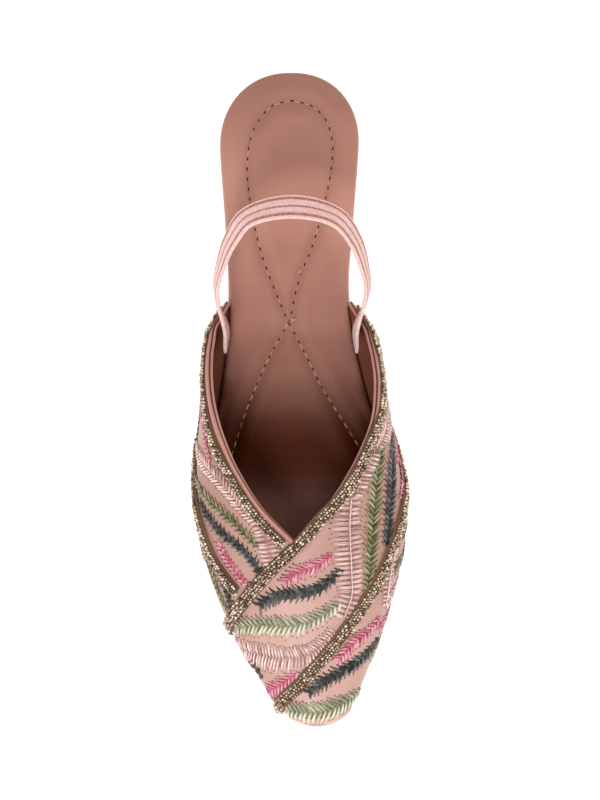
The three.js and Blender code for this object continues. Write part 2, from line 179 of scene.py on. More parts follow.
def photo_plan(pixels):
    """Places across and along the shoe under photo pixels."""
    return (np.asarray(pixels, float) - PHOTO_HEEL) / PHOTO_SCALE


def smoothstep(x, low, high):
    t = np.clip((x - low) / (high - low), 0, 1)
    return t * t * (3 - 2 * t)


def fade(x, most, low, high):
    """A value that falls from its most to nothing between two places."""
    return most * (1 - smoothstep(x, low, high))


def ridge(x, height, at, wide):
    return height * np.exp(-(((x - at) / wide) ** 2))


def unit(v):
    return v / np.maximum(np.linalg.norm(v, axis=-1, keepdims=True), TINY)


def nearest(points, line):
    return np.sqrt(((points[:, None] - line) ** 2).sum(-1)).min(1)


def quarter_circle(count, **settings):
    return np.linspace(0, math.pi / 2, count, **settings)


def full_circle(count):
    return np.linspace(0, 2 * math.pi, count, endpoint=False)


def half_wave(t):
    return np.sin(math.pi * np.clip(t, 0, 1))


def arched(count):
    return half_wave(np.linspace(0, 1, count))


# Surface of the upper; "around" is the angle in degrees up from the outer side
TANGENT_REACH = 0.4
FOLD_CLEAR = 0.5


def fold_angle(s, depth=0.0):
    """How far below the widest place the wall folds under."""
    return np.degrees(np.arccos((sole_half(s) - depth) / (bulge(s) - depth))) + lean(s)


def inside_station(s, depth):
    """Place along a skin that lies deeper in the wall, drawn back at the toe."""
    thin = TOE_THIN_FROM + (s - TOE_THIN_FROM) * (LENGTH - depth - TOE_THIN_FROM) / (LENGTH - TOE_THIN_FROM)
    return np.where(s < TOE_THIN_FROM, s, thin)


def inward(s, turn):
    """Lean of the wall towards the collar, most at the wings."""
    return np.radians(lean(s)) * (1 - smoothstep(np.sin(turn), 0, 1))


def on_upper(at, angle, depth=0.0):
    """Points of the upper, or of a skin that lies deeper in its wall."""
    at, angle = np.broadcast_arrays(np.asarray(at, float), np.asarray(angle, float))
    s = inside_station(at, depth)
    round_off = end_round(s, LENGTH - depth)
    turn = np.radians(angle)
    fold = np.radians(fold_angle(s, depth))
    below = (angle < 0) | (angle > 180)
    rise = np.where(below, hip(s) / np.sin(fold), (crown(s) - depth) * round_off)
    width = np.cos(np.where(angle > 90, turn - inward(s, turn), turn + inward(s, turn)))
    x = centre(s) - (bulge(s) - depth) * round_off * width
    return row_point(x, s, seat(s) + GAP + hip(s) + rise * np.sin(turn))


def surface(chart):
    return on_upper(chart[..., 0], chart[..., 1])


def tangents(at, around):
    """Directions along, across and out of the upper."""
    reach = TANGENT_REACH
    s = np.minimum(at, LENGTH - TOE_ROUND / 2)
    along = (on_upper(s + reach, around) - on_upper(s - reach, around)) / (2 * reach)
    across = (on_upper(s, around + reach) - on_upper(s, around - reach)) / (2 * reach)
    return along, across, unit(np.cross(along, across))


def moved(at, around, step):
    """Where a small step along the surface leads, as (at, around)."""
    along, across, _ = tangents(at, around)
    aa, ac, cc = (along * along).sum(-1), (along * across).sum(-1), (across * across).sum(-1)
    a, c = (along * step).sum(-1), (across * step).sum(-1)
    det = aa * cc - ac * ac
    return at + (a * cc - c * ac) / det, around + (aa * c - ac * a) / det


def lifted(at, around, height):
    """Points above the upper, kept clear of its fold."""
    low = -fold_angle(np.minimum(at, LENGTH)) + FOLD_CLEAR
    around = np.clip(around, low, 180 - low)
    return on_upper(at, around) + tangents(at, around)[2] * np.asarray(height)[..., None]


def from_photo(pixels):
    """(at, around) on the top of the upper under photo pixels."""
    x, s = np.moveaxis(photo_plan(pixels), -1, 0)
    reach = np.clip((centre(s) - x) / (bulge(s) * end_round(s)), -1, 1)
    low, high = -lean(s), np.full(s.shape, 90.0)
    for _ in range(HALVINGS):
        angle = (low + high) / 2
        turn = np.radians(angle)
        wider = np.cos(turn + inward(s, turn)) > np.abs(reach)
        low, high = np.where(wider, angle, low), np.where(wider, high, angle)
    return np.stack([s, np.where(reach > 0, low, 180 - low)], -1)


# Curves
CHART_PARTS = 24
MM_PER_DEGREE = 0.65


def smooth_line(points, per=20):
    """Dense points on a smooth curve through the given ones; the first three columns set the pace."""
    p = np.asarray(points, float)
    p = np.vstack([2 * p[0] - p[1], p, 2 * p[-1] - p[-2]])
    pace = np.maximum(np.linalg.norm(np.diff(p[:, :3], axis=0), axis=1) ** 0.5, TINY)
    out = []
    t = np.linspace(0, 1, per, endpoint=False)[:, None]
    for i in range(1, len(p) - 2):
        a, b, c = pace[i - 1], pace[i], pace[i + 1]
        start = ((p[i] - p[i - 1]) / a - (p[i + 1] - p[i - 1]) / (a + b) + (p[i + 1] - p[i]) / b) * b
        end = ((p[i + 1] - p[i]) / b - (p[i + 2] - p[i]) / (b + c) + (p[i + 2] - p[i + 1]) / c) * b
        square = 3 * (p[i + 1] - p[i]) - 2 * start - end
        cube = 2 * (p[i] - p[i + 1]) + start + end
        out.append(p[i] + start * t + square * t**2 + cube * t**3)
    return np.vstack(out + [p[-2][None]])


def lengths(line):
    return np.concatenate([[0], np.cumsum(np.linalg.norm(np.diff(line, axis=0), axis=1))])


def evenly(line, step, measure=None):
    """Points of a dense line set out at even steps, by its own length or that of another line."""
    run = lengths(line if measure is None else measure)
    count = max(2, int(round(run[-1] / step)) + 1)
    want = np.linspace(0, run[-1], count)
    return np.stack([np.interp(want, run, column) for column in line.T], -1)


def dashes(spots, t):
    """Points at shares t of the way from each spot to the next."""
    return spots[:-1, None] + (spots[1:] - spots[:-1])[:, None] * t[:, None]


def chart_line(route):
    """Dense (at, around) along a route over the upper."""
    chart = smooth_line([(at, around * MM_PER_DEGREE, 0) for at, around in route], CHART_PARTS)
    return chart[:, :2] / (1, MM_PER_DEGREE)


def chart_spots(route, step):
    chart = chart_line(route)
    return evenly(chart, step, surface(chart))


def laid_out(route, step):
    """Spots along a route over the upper, their places, and the directions ahead, beside and up."""
    spots = chart_spots(route, step)
    ground = surface(spots)
    ahead = unit(np.gradient(ground, axis=0))
    up = tangents(*spots.T)[2]
    return spots, ground, ahead, unit(np.cross(up, ahead)), up


# Meshes
TUBE_SIDES = 6


def piece(name, points, faces, material, slot, hides=None, smooth=True, **values):
    """A mesh of the shoe from points in millimetres; further values are attributes of the points."""
    mesh = bpy.data.meshes.new(name)
    points = np.asarray(points).reshape(-1, 3) * MM
    mesh.from_pydata(points.tolist(), [], faces if isinstance(faces, list) else faces.tolist())
    mesh.polygons.foreach_set("use_smooth", [smooth] * len(mesh.polygons))
    for key, value in values.items():
        mesh.attributes.new(key, "FLOAT", "POINT").data.foreach_set("value", np.asarray(value, float).ravel())
    mesh.materials.append(material)
    mesh.update()
    obj = bpy.data.objects.new(name, mesh)
    bpy.context.scene.collection.objects.link(obj)
    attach(obj, "root")
    if hides:
        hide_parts(hides)
    return obj


def grid_faces(rows, columns, wrap=False):
    i, j = np.meshgrid(np.arange(rows - 1), np.arange(columns if wrap else columns - 1), indexing="ij")
    k = (j + 1) % columns
    quads = np.stack([i * columns + j, i * columns + k, (i + 1) * columns + k, (i + 1) * columns + j], -1)
    return quads.reshape(-1, 4)


def closed_faces(rows, count):
    """Faces of a row of rings whose two ends are shut from side to side."""
    k = np.arange(count // 2)
    rungs = np.stack([k, k + 1, count - k - 1, (count - k) % count], -1)
    return np.concatenate([grid_faces(rows, count, True), rungs[:, ::-1], rungs + (rows - 1) * count])


def repeated(faces, count, size):
    """Faces of many copies of a shape that has so many points."""
    return (faces + (np.arange(count) * size)[:, None, None]).reshape(-1, faces.shape[1])


def joined(meshes):
    starts = np.cumsum([0] + [len(points) for points, _ in meshes])
    faces = [some + start for (_, some), start in zip(meshes, starts)]
    return np.concatenate([points for points, _ in meshes]), np.concatenate(faces)


def tube_mesh(paths, up, wide, flat=1.0, sides=TUBE_SIDES):
    """Tubes along n paths of k points, with k half widths and the height as a share of them."""
    n, k, _ = paths.shape
    up = np.broadcast_to(up, paths.shape)
    side = unit(np.cross(up, np.gradient(paths, axis=1)))
    turn = full_circle(sides)
    across = (wide[:, None] * np.cos(turn))[..., None]
    rise = (wide[:, None] * flat * np.sin(turn))[..., None]
    ring = paths[:, :, None] + side[:, :, None] * across + up[:, :, None] * rise
    return ring.reshape(-1, 3), repeated(grid_faces(k, sides, True), n, k * sides)


# Colours and materials
GAMMA = 2.2
SOCKETS = {
    "colour": "Base Color", "rough": "Roughness", "metal": "Metallic", "specular": "Specular IOR Level",
    "sheen": "Sheen Weight", "soft": "Subsurface Weight", "soft_reach": "Subsurface Radius",
    "glow": "Emission Strength", "glow_colour": "Emission Color", "normal": "Normal",
}
MIX_FACTOR, MIX_A, MIX_B, MIX_RESULT = 0, 6, 7, 2
LEATHER = {"rough": 0.45, "sheen": 0.1}
# Blotches of the materials: noise scale, detail, and how far the two shades lie from its middle
MOTTLE = {"leather": (28, 4, 0.2), "thread": (900, 2, 0.15), "rubber": (16, 4, 0.2), "elastic": (700, 2, 0.1)}
FIBRE_SHARE = 0.15
# Relief: noise scale and detail, depth in metres
GRAIN_DETAIL = 2
GRAIN_DEPTH = 0.00006
WRINKLES = ((320, 3), 0.00012)
TWIST = ((5200, 2), 0.00005)
RUBBER_RELIEF = ((1500, 3), 0.00004), ((120, 2), 0.0001)
WEAVE_GRAIN = ((2600, 2), 0.0001)


def srgb(r, g, b):
    return tuple((c / 255) ** GAMMA for c in (r, g, b)) + (1,)


class Look:
    """A principled material put together from procedural nodes."""

    def __init__(self, name, **settings):
        self.material = bpy.data.materials.new(name)
        self.material.use_nodes = True
        self.tree = self.material.node_tree
        self.shader = self.tree.nodes["Principled BSDF"]
        self.set(**settings)

    def set(self, **settings):
        for key, value in settings.items():
            self.feed(value, self.shader.inputs[SOCKETS[key]])

    def feed(self, source, target):
        """Set a plain value on a socket, or link another socket to it."""
        if isinstance(source, (int, float, tuple)):
            target.default_value = source
        else:
            self.tree.links.new(source, target)

    def node(self, kind, **settings):
        node = self.tree.nodes.new("ShaderNode" + kind)
        for key, value in settings.items():
            if key in node.inputs:
                node.inputs[key].default_value = value
            else:
                setattr(node, key, value)
        return node

    def attribute(self, name):
        return self.node("Attribute", attribute_name=name).outputs["Fac"]

    def maths(self, operation, *values):
        node = self.node("Math", operation=operation)
        for value, target in zip(values, node.inputs):
            self.feed(value, target)
        return node.outputs[0]

    def noise(self, scale, detail):
        noise = self.node("TexNoise", Scale=scale, Detail=detail)
        self.feed(self.node("TexCoord").outputs["Object"], noise.inputs["Vector"])
        return noise.outputs["Fac"]

    def ramp(self, factor, *stops):
        ramp = self.node("ValToRGB")
        elements = ramp.color_ramp.elements
        while len(elements) < len(stops):
            elements.new(0.5)
        for element, (position, colour) in zip(elements, stops):
            element.position = position
            element.color = colour
        self.feed(factor, ramp.inputs["Fac"])
        return ramp.outputs["Color"]

    def mottled(self, kind, dark, light):
        scale, detail, spread = MOTTLE[kind]
        return self.ramp(self.noise(scale, detail), (0.5 - spread, dark), (0.5 + spread, light))

    def mix(self, factor, a, b):
        mix = self.node("Mix", data_type="RGBA")
        for source, socket in ((factor, MIX_FACTOR), (a, MIX_A), (b, MIX_B)):
            self.feed(source, mix.inputs[socket])
        return mix.outputs[MIX_RESULT]

    def relief(self, *layers):
        """Bumps from layers of (noise scale and detail or a height socket, depth in metres)."""
        last = None
        for height, depth in layers:
            bump = self.node("Bump", Strength=1.0, Distance=depth)
            self.feed(self.noise(*height) if isinstance(height, tuple) else height, bump.inputs["Height"])
            if last:
                self.feed(last, bump.inputs["Normal"])
            last = bump.outputs["Normal"]
        self.set(normal=last)
        return self.material


def leather(name, dark, light, grain=2600, deep=None, **settings):
    """Fine-grained leather; where its painted-shade attribute rises it turns to the colour given for painted
    shade.
    """
    look = Look(name, **{**LEATHER, **settings})
    skin = look.mottled("leather", srgb(*dark), srgb(*light))
    if deep:
        skin = look.mix(look.attribute("deep"), skin, srgb(*deep))
    look.set(colour=skin)
    return look.relief(((grain, GRAIN_DETAIL), GRAIN_DEPTH), WRINKLES)


def thread(name, dark, light):
    """Twisted thread that goes from its dark to its light shade with a per-point attribute, which mixes
    random differences with painted sheen and painted shade.
    """
    look = Look("thread_" + name, rough=0.38, sheen=0.05, specular=0.35)
    dark, light = srgb(*dark), srgb(*light)
    shade = look.ramp(look.attribute("tone"), (0.0, dark), (1.0, light))
    look.set(colour=look.mix(FIBRE_SHARE, shade, look.mottled("thread", dark, light)))
    return look.relief(TWIST)


# Colour of painted shade inside the shoe, on the footbed and lining towards the toe box and at the heel
PAINTED_SHADE_COLOUR = (72, 34, 20)
INSIDE = {"sheen": 0, "specular": 0.04, "deep": PAINTED_SHADE_COLOUR}
# The upper's leather turns to a darker painted shade towards the back of the upper and down its sides
UPPER_LOOK = leather("upper_leather", (186, 143, 130), (200, 158, 145), deep=(150, 104, 91))
BINDING_LOOK = leather("binding_leather", (164, 113, 96), (180, 127, 110), rough=0.4)
LINING_LOOK = leather("lining", (126, 76, 62), (144, 90, 75), rough=0.65, **INSIDE)
FOOTBED_LOOK = leather("footbed_cover", (178, 127, 112), (188, 137, 121), grain=3400, **INSIDE)
SEAM_LOOK = Look("seam_shadow", rough=0.8, colour=srgb(96, 40, 38)).material
# Painted shade of the needle holes and of the slots between seam stitches
HOLE_SHADE_LOOK = Look("needle_hole_shade", rough=0.9, colour=srgb(52, 26, 18)).material
BRAID_LOOK = leather("trim_braid", (74, 48, 32), (110, 78, 54), grain=5200, rough=0.7)
# Dark and light end of each thread's colour; the dark end serves as painted shade and painted shadow, the
# light end as painted sheen
THREAD_SHADES = {
    "light_pink": ((140, 86, 77), (253, 222, 214)),
    "hot_pink": ((160, 40, 72), (255, 186, 200)),
    "sage": ((58, 58, 28), (196, 190, 144)),
    "pale_green": ((92, 92, 58), (240, 234, 206)),
    "charcoal": ((8, 6, 5), (140, 136, 130)),
    "white": ((206, 160, 152), (255, 240, 236)),
    "tan": ((120, 80, 60), (208, 166, 138)),
}
THREADS = {name: thread(name, *shades) for name, shades in THREAD_SHADES.items()}

# Sole
OUTLINE_STEP = 1.6
HEEL_PARTS = 24
TOE_PARTS = 16
RIM_HEIGHT = 2.6
RIM_STEP = 0.9
TREAD_DEPTH = 0.45
RIB_DEPTH = 0.75


def outline(step):
    """Plan outline from the heel round the outer side to the toe and back, with its inward direction."""
    heel = HEEL_ROUND * (1 - np.cos(quarter_circle(HEEL_PARTS, endpoint=False)))
    toe = LENGTH - TOE_ROUND + TOE_ROUND * np.sin(quarter_circle(TOE_PARTS))
    pads = np.array([HEEL_PAD_TO, HEEL_PAD_TO + STEP_RUN, FORE_PAD_FROM - STEP_RUN, FORE_PAD_FROM])
    body = np.arange(HEEL_ROUND, LENGTH - TOE_ROUND, step)
    body = body[np.abs(body[:, None] - pads).min(1) > STEP_RUN]
    s = np.concatenate([heel, np.sort(np.concatenate([body, pads])), toe])
    half = sole_half(s) * end_round(s)
    x = np.concatenate([centre(s) - half, (centre(s) + half)[-2:0:-1]])
    y = np.concatenate([s, s[-2:0:-1]])
    run = unit(np.stack([np.roll(x, -1) - np.roll(x, 1), np.roll(y, -1) - np.roll(y, 1)], -1))
    return x, y, run[:, 1], -run[:, 0]


def inset_outline(line, inset):
    x, s, in_x, in_s = line
    return x + in_x * inset, s + in_s * inset


def floor_edge(s):
    """Underside at the foot of the wall: arched waist, then the sprung forefoot."""
    spring = np.maximum(0, (s - SPRING_FROM) / (LENGTH - SPRING_FROM))
    return np.where(s < FORE_PAD_FROM - STEP_RUN / 2, arch(s), SPRING_RISE * spring**SPRING_POWER)


def tread_ground(s):
    """Underside between the raised lines of the forefoot."""
    return floor_edge(s) + np.where(s > FORE_PAD_FROM - STEP_RUN / 2, TREAD_DEPTH, 0)


def rib_ground(s):
    """The same, with the heel's pad between its ribs."""
    return np.where(s < HEEL_PAD_TO + STEP_RUN / 2, RIB_DEPTH, tread_ground(s))


# Underside from the pads outwards: inset from the foot of the wall, and its height
TREAD_SECTION = (
    (HEEL_PAD_INSET + 0.4, rib_ground),
    (HEEL_PAD_INSET, tread_ground),
    (HEEL_PAD_INSET - 0.5, tread_ground),
    (2.6, tread_ground),
)
# Wall from the floor to the seat: share of the way up to the rim, height beyond it, share of the taper, inset
WALL_SECTION = (
    (0, 0, 1, 2.0),
    (0, 0, 1, 0.9),
    (0, 0.35, 1, 0.35),
    (0, 1.1, 1, 0),
    (0.35, 0.505, 0.65, 0.35 * RIM_STEP),
    (0.7, -0.09, 0.3, 0.7 * RIM_STEP),
    (1, -0.6, 0, RIM_STEP),
    (1, -0.3, 0, RIM_STEP + 0.35),
    (1, -0.1, 0, RIM_STEP + 0.3),
    (1, 0, 0, 0.25),
    (1, 0.35, 0, 0),
    (1, RIM_HEIGHT - 0.6, 0, 0),
    (1, RIM_HEIGHT - 0.15, 0, 0.2),
    (1, RIM_HEIGHT, 0, 0.7),
    (1, RIM_HEIGHT, 0, 2.5),
)


def rubber_look():
    look = Look("sole_rubber", rough=0.48, specular=0.45, soft=0.12, soft_reach=(0.004, 0.002, 0.0015))
    look.set(colour=look.mottled("rubber", srgb(192, 142, 132), srgb(206, 157, 147)))
    return look.relief(*RUBBER_RELIEF)


RUBBER = rubber_look()


def build_sole():
    """The moulded sole; gives back the ring round its pads."""
    line = outline(OUTLINE_STEP)
    foot = taper(line[1])
    rings = []
    for inset, height in TREAD_SECTION:
        x, s = inset_outline(line, foot + inset)
        rings.append(row_point(x, s, height(s)))
    for share, up, taper_share, inset in WALL_SECTION:
        x, s = inset_outline(line, foot * taper_share + inset)
        floor = floor_edge(s)
        rings.append(row_point(x, s, floor + (seat(s) - RIM_HEIGHT - floor) * share + up))
    faces = closed_faces(len(rings), len(foot))
    piece("outsole_form", rings, faces, RUBBER, "sole_rubber", hides="outsole")
    return rings[0]


# Heel ribs: spacing, and their section as distance along and height
RIB_PITCH = 1.7
RIB_FROM = 13.0
RIB_TO = 71.8
RIB_END = 0.5
RIB_SECTION = ((0.62, 0.8), (0.42, 0.12), (0.21, 0), (-0.21, 0), (-0.42, 0.12), (-0.62, 0.8))
# Plain discs: place, radius, how far they stand out of the underside, height of the foot that is sunk in it
DISCS = {"heel_disc": (26, 5, 0, 0.75), "waist_disc": (101, 5.5, 0.35, 0.5)}
DISC_SIDES = 48
DISC_FOOT = 0.4
DISC_SECTION = ((0.3, 0.1), (0, 0), (-0.8, 0.05), (-1.1, 0.3))
DISC_MIDDLE = (0.01, 0.3)


def pad_sides(pad_ring, y):
    half = len(pad_ring) // 2
    lateral, medial = pad_ring[:half], pad_ring[: half - 1 : -1]
    return [np.interp(-y, -side[:, 1], side[:, 0]) for side in (lateral, medial)]


def build_ribs(pad_ring):
    y = station(np.arange(RIB_FROM, RIB_TO, RIB_PITCH))
    left, right = pad_sides(pad_ring, y)
    x = np.stack([left + RIB_END, left + 2 * RIB_END, right - 2 * RIB_END, right - RIB_END], -1)
    along, z = np.array(RIB_SECTION).T
    points = np.stack(np.broadcast_arrays(x[:, :, None], y[:, None, None] + along, z), -1)
    count, parts, corners, _ = points.shape
    size = parts * corners
    caps = np.array([range(corners), range(size - 1, size - corners - 1, -1)])
    faces = [repeated(some, count, size).tolist() for some in (grid_faces(parts, corners)[:, ::-1], caps)]
    piece("heel_ribs", points, faces[0] + faces[1], RUBBER, "sole_rubber", smooth=False)


def build_discs():
    turn = full_circle(DISC_SIDES)
    for name, (at, radius, out, foot) in DISCS.items():
        floor = (0 if at < HEEL_PAD_TO else floor_edge(at)) - out
        section = [(radius + DISC_FOOT, foot), *((radius + r, z) for r, z in DISC_SECTION), DISC_MIDDLE]
        rows = []
        for r, z in section:
            rows.append(row_point(centre(at) + r * np.cos(turn), at + r * np.sin(turn), floor + z))
        piece(name, rows, grid_faces(len(rows), DISC_SIDES, True)[:, ::-1], RUBBER, "sole_rubber")


# Scroll tread: lattice of one motif, in millimetres, and where it ends
SCROLL_STEPS = np.array([(14.7, 16.9), (-16.9, 23.2)])
SCROLL_COPIES = [(i, j) for i in range(-8, 9) for j in range(-6, 7)]
SCROLL_ORIGIN = 190
SCROLL_FROM = FORE_PAD_FROM + 1.5
SCROLL_TO = LENGTH - 9
SCROLL_BEYOND = 2
SCROLL_SPACING = 0.7
SCROLL_SHORTEST = 5
SCROLL_WIDTH = 0.65
SCROLL_TIP = 0.3
SCROLL_PARTS = 10
SPIRAL_PARTS = 60
SPIRAL_TURN = 3.6 * math.pi
SPIRAL_PHASE = 0.4
SPIRAL_START = 0.5
SPIRAL_GROWTH = 3.8
SPIRAL_TAIL = ((-3.6, 3.8), (-1.2, 8.4), (2.2, 10.8), (4.0, 9.2), (2.6, 7.9))
FLAME = (
    (-5, 18.5), (-4.4, 14.6), (-7, 11.4), (-3, 13.2), (0.6, 20.2), (3.6, 14), (5.2, 9.6), (7.6, 15),
    (7, 20.5),
)
FLOURISH = ((-8.6, 21.8), (-5.4, 22), (-5.6, 25), (-2, 27.4), (2.4, 27.6), (4.8, 30))
CURL = ((3, 21.5), (6.6, 23.6), (3.4, 25), (-0.6, 24), (-3.2, 26.8), (-1.4, 30), (1.2, 28.6))


def scroll_motif():
    """Lines of the motif: a comma with a curl, a flame and two flourishes."""
    turn = np.linspace(0, SPIRAL_TURN, SPIRAL_PARTS)
    radius = SPIRAL_START + SPIRAL_GROWTH * turn / turn[-1]
    spiral = np.stack([radius * np.cos(turn - SPIRAL_PHASE), radius * np.sin(turn - SPIRAL_PHASE)], -1)
    tail = smooth_line([spiral[-1], *SPIRAL_TAIL], SCROLL_PARTS)
    others = [smooth_line(line, SCROLL_PARTS) for line in (FLAME, FLOURISH, CURL)]
    return [evenly(line, SCROLL_SPACING) for line in (np.vstack([spiral, tail[1:]]), *others)]


def build_scrolls(pad_ring):
    paths = []
    motif = scroll_motif()
    for line in (line + copy @ SCROLL_STEPS for copy in SCROLL_COPIES for line in motif):
        s = SCROLL_ORIGIN - line[:, 1]
        x = centre(SCROLL_ORIGIN) + line[:, 0]
        left, right = pad_sides(pad_ring, station(s))
        inside = (x - MIDDLE > left - SCROLL_BEYOND) & (x - MIDDLE < right + SCROLL_BEYOND)
        inside &= (s > SCROLL_FROM) & (s < SCROLL_TO)
        for run in np.split(np.arange(len(s)), np.where(np.diff(inside.astype(int)) != 0)[0] + 1):
            if inside[run[0]] and len(run) >= SCROLL_SHORTEST:
                paths.append(row_point(x[run], s[run], tread_ground(s[run])))
    meshes = []
    for path in paths:
        size = np.full(len(path), SCROLL_WIDTH)
        size[[0, -1]] *= SCROLL_TIP
        meshes.append(tube_mesh(path[None], (0, 0, -1), size, TREAD_DEPTH / SCROLL_WIDTH))
    piece("forefoot_scrolls", *joined(meshes), RUBBER, "sole_rubber")


# Footbed
FOOTBED = 4
FOOTBED_SIDE = 2.0
FOOTBED_BASE = 1.0
FOOTBED_STEP = 1.2
BARE_INSET = 0.5
COVERED_INSET = WALL + 0.6
COVER_FROM = 80
COVER_TO = 91
BASE_INSET = table(
    "at inset", (0, BARE_INSET), (COVER_FROM, BARE_INSET), (COVER_TO, COVERED_INSET), (LENGTH, COVERED_INSET)
)
TOP_INSET = table(
    "at inset",
    (0, BARE_INSET),
    (COVER_FROM, BARE_INSET),
    (COVER_TO, 0.8),
    (135, 1),
    (165, COVERED_INSET),
    (LENGTH, COVERED_INSET),
)
# Rings of the cover close in on an axis: shares of the way over its rolled edge, then over the rest
AXIS_FROM = 26
AXIS_TO = 246
ROLL_SHARE, ROLL_RINGS = 0.12, 10
TOP_SHARE, TOP_RINGS = 0.99, 52
# Routes of the quilted seam in photo pixels, from the heel to the ball
SEAM_ROUTES = (
    (
        (152, 103.5), (133, 108), (119.5, 122), (111, 139.5), (107.3, 164), (108, 188), (114, 227),
        (122, 258), (133, 288), (142, 310), (148, 324), (155, 337), (166, 358), (182.6, 391),
        (203, 423.5), (222, 454), (240, 484),
    ),
    (
        (152, 103.5), (172, 109), (185.8, 123), (192, 142), (192.5, 157), (189.3, 184), (179.5, 225),
        (170, 254.5), (161.7, 274), (154, 301), (151, 317), (142, 336), (127.8, 362), (116, 389),
        (105.5, 414.5), (94.7, 447.6), (84, 480),
    ),
)
SEAM_SPACING = 0.8
# Padding: rolled edge; heel dish with its depth and fade; height, distance and width of the swell beside the
# seam and of the groove along it
FOOTBED_ROLL = 2.4
FOOTBED_ROLL_BARE = 4.0
DISH = (1.3, 55, 130)
DISH_INSET = (9, 15)
SWELL = (1.0, 5, 3.6)
SWELL_INSET = (1, 6)
GROOVE = (0.9, 0, 1.5)
# How far the inside has turned to its painted shade, from the heel to the toe
PAINTED_SHADE_BY_PLACE = table(
    "at deep",
    (0, 0.32), (14, 0.3), (35, 0.16), (55, 0.02), (62, 0), (70, 0.12), (90, 0.29), (100, 0.31), (108, 0.46),
    (120, 0.52), (130, 0.73), (140, 0.94), (148, 1), (156, 1), (160, 0.97), (166, 0.85), (172, 0.58),
    (178, 0.4), (186, 0.3),
)
# Painted shade along the foot of the wall: most, and the distances from the edge over which it fades; then
# where along the shoe it comes in
WALL_PAINTED_SHADE = (0.9, 0, 15)
WALL_PAINTED_SHADE_RISE = (108, 130)


def footbed_outline(inset):
    line = outline(FOOTBED_STEP)
    return np.stack(inset_outline(line, np.interp(line[1], inset["at"], inset["inset"])), -1)


SEAMS = [smooth_line(photo_plan(route)) for route in SEAM_ROUTES]
SEAM_SPOTS = np.concatenate([evenly(seam, SEAM_SPACING) for seam in SEAMS])
FOOTBED_EDGE = footbed_outline(TOP_INSET)


def footbed_top(plan):
    """Points of the padded cover: rolled edge, dished heel and a pulled-down seam."""
    x, s = plan.T
    from_edge = nearest(plan, FOOTBED_EDGE)
    roll = FOOTBED_ROLL + fade(s, FOOTBED_ROLL_BARE, COVER_FROM, COVER_TO)
    side = np.clip(from_edge / roll, 0, 1)
    edge = FOOTBED_SIDE + (FOOTBED - FOOTBED_SIDE) * np.sqrt(1 - (1 - side) ** 2)
    apart = nearest(plan, SEAM_SPOTS)
    dish = fade(s, *DISH) * smoothstep(from_edge, *DISH_INSET)
    swell = ridge(apart, *SWELL) * smoothstep(from_edge, *SWELL_INSET)
    return row_point(x, s, seat(s) + GAP + edge + swell - ridge(apart, *GROOVE) - dish)


def inside_painted_shade(s):
    return np.interp(s, PAINTED_SHADE_BY_PLACE["at"], PAINTED_SHADE_BY_PLACE["deep"])


def footbed_painted_shade(points):
    """Painted shade of the footbed, which also gathers along the foot of the wall."""
    s = station(points[:, 1])
    from_edge = nearest(np.stack([points[:, 0] + MIDDLE, s], -1), FOOTBED_EDGE)
    return np.maximum(inside_painted_shade(s), fade(from_edge, *WALL_PAINTED_SHADE) * smoothstep(s, *WALL_PAINTED_SHADE_RISE))


def build_footbed():
    x, s = footbed_outline(BASE_INSET).T
    base = seat(s) + GAP
    rows = [row_point(x, s, base), row_point(x, s, base + FOOTBED_BASE)]
    axis_s = np.clip(FOOTBED_EDGE[:, 1], AXIS_FROM, AXIS_TO)
    axis = np.stack([centre(axis_s), axis_s], -1)
    roll = np.linspace(0, ROLL_SHARE, ROLL_RINGS)[:-1]
    for share in np.concatenate([roll, np.linspace(ROLL_SHARE, TOP_SHARE, TOP_RINGS)]):
        rows.append(footbed_top(FOOTBED_EDGE + (axis - FOOTBED_EDGE) * share))
    points = np.concatenate(rows)
    faces = closed_faces(len(rows), len(axis))
    deep = footbed_painted_shade(points)
    footbed = piece("footbed_pad", points, faces, FOOTBED_LOOK, "footbed_cover", hides="insole", deep=deep)


# Seam: share of a stitch from and to, lift and half width of pale stitches and of dark slots between them,
# the slots in painted shade
SEAM_STITCH = 4.0
SEAM_DASHES = (
    ("footbed_stitches", 0.2, 0.84, 0.16, 0.22, THREADS["tan"]),
    ("footbed_slots", -0.16, 0.22, 0.04, 0.33, HOLE_SHADE_LOOK),
)
DASH_WIDTH = (0.3, 0.85, 1, 1, 0.85, 0.3)
DASH_FLAT = 0.7
DASH_TONES = (0.3, 1.0)
# Loose thread ends, in photo pixels, where the seam was started and where its lines cross
KNOTS = ((160, 274), (152.5, 323))
KNOT_ENDS = 7
KNOT_REACH = 1.3
KNOT_THREAD = 0.2
KNOT_BOW = 0.5
KNOT_SPREAD = (0.3, 0.5)
KNOT_LIFT = 0.3
KNOT_ARCH = 0.35
KNOT_TONES = (0.5, 1.0)


def footbed_threads(name, paths, width, flat, tones, material):
    points, faces = tube_mesh(paths, (0, 0, 1), np.multiply(DASH_WIDTH, width), flat)
    tone = np.repeat(rng.uniform(*tones, len(paths)), len(DASH_WIDTH) * TUBE_SIDES)
    piece(name, points, faces, material, "footbed_cover", tone=tone)


def build_footbed_seam():
    parts = len(DASH_WIDTH)
    for name, low, high, lift, width, material in SEAM_DASHES:
        t = np.linspace(low, high, parts)
        plan = np.concatenate([dashes(evenly(seam, SEAM_STITCH), t) for seam in SEAMS])
        paths = footbed_top(plan.reshape(-1, 2)).reshape(-1, parts, 3)
        paths[..., 2] += lift + arched(parts) * lift
        footbed_threads(name, paths, width, DASH_FLAT, DASH_TONES, material)


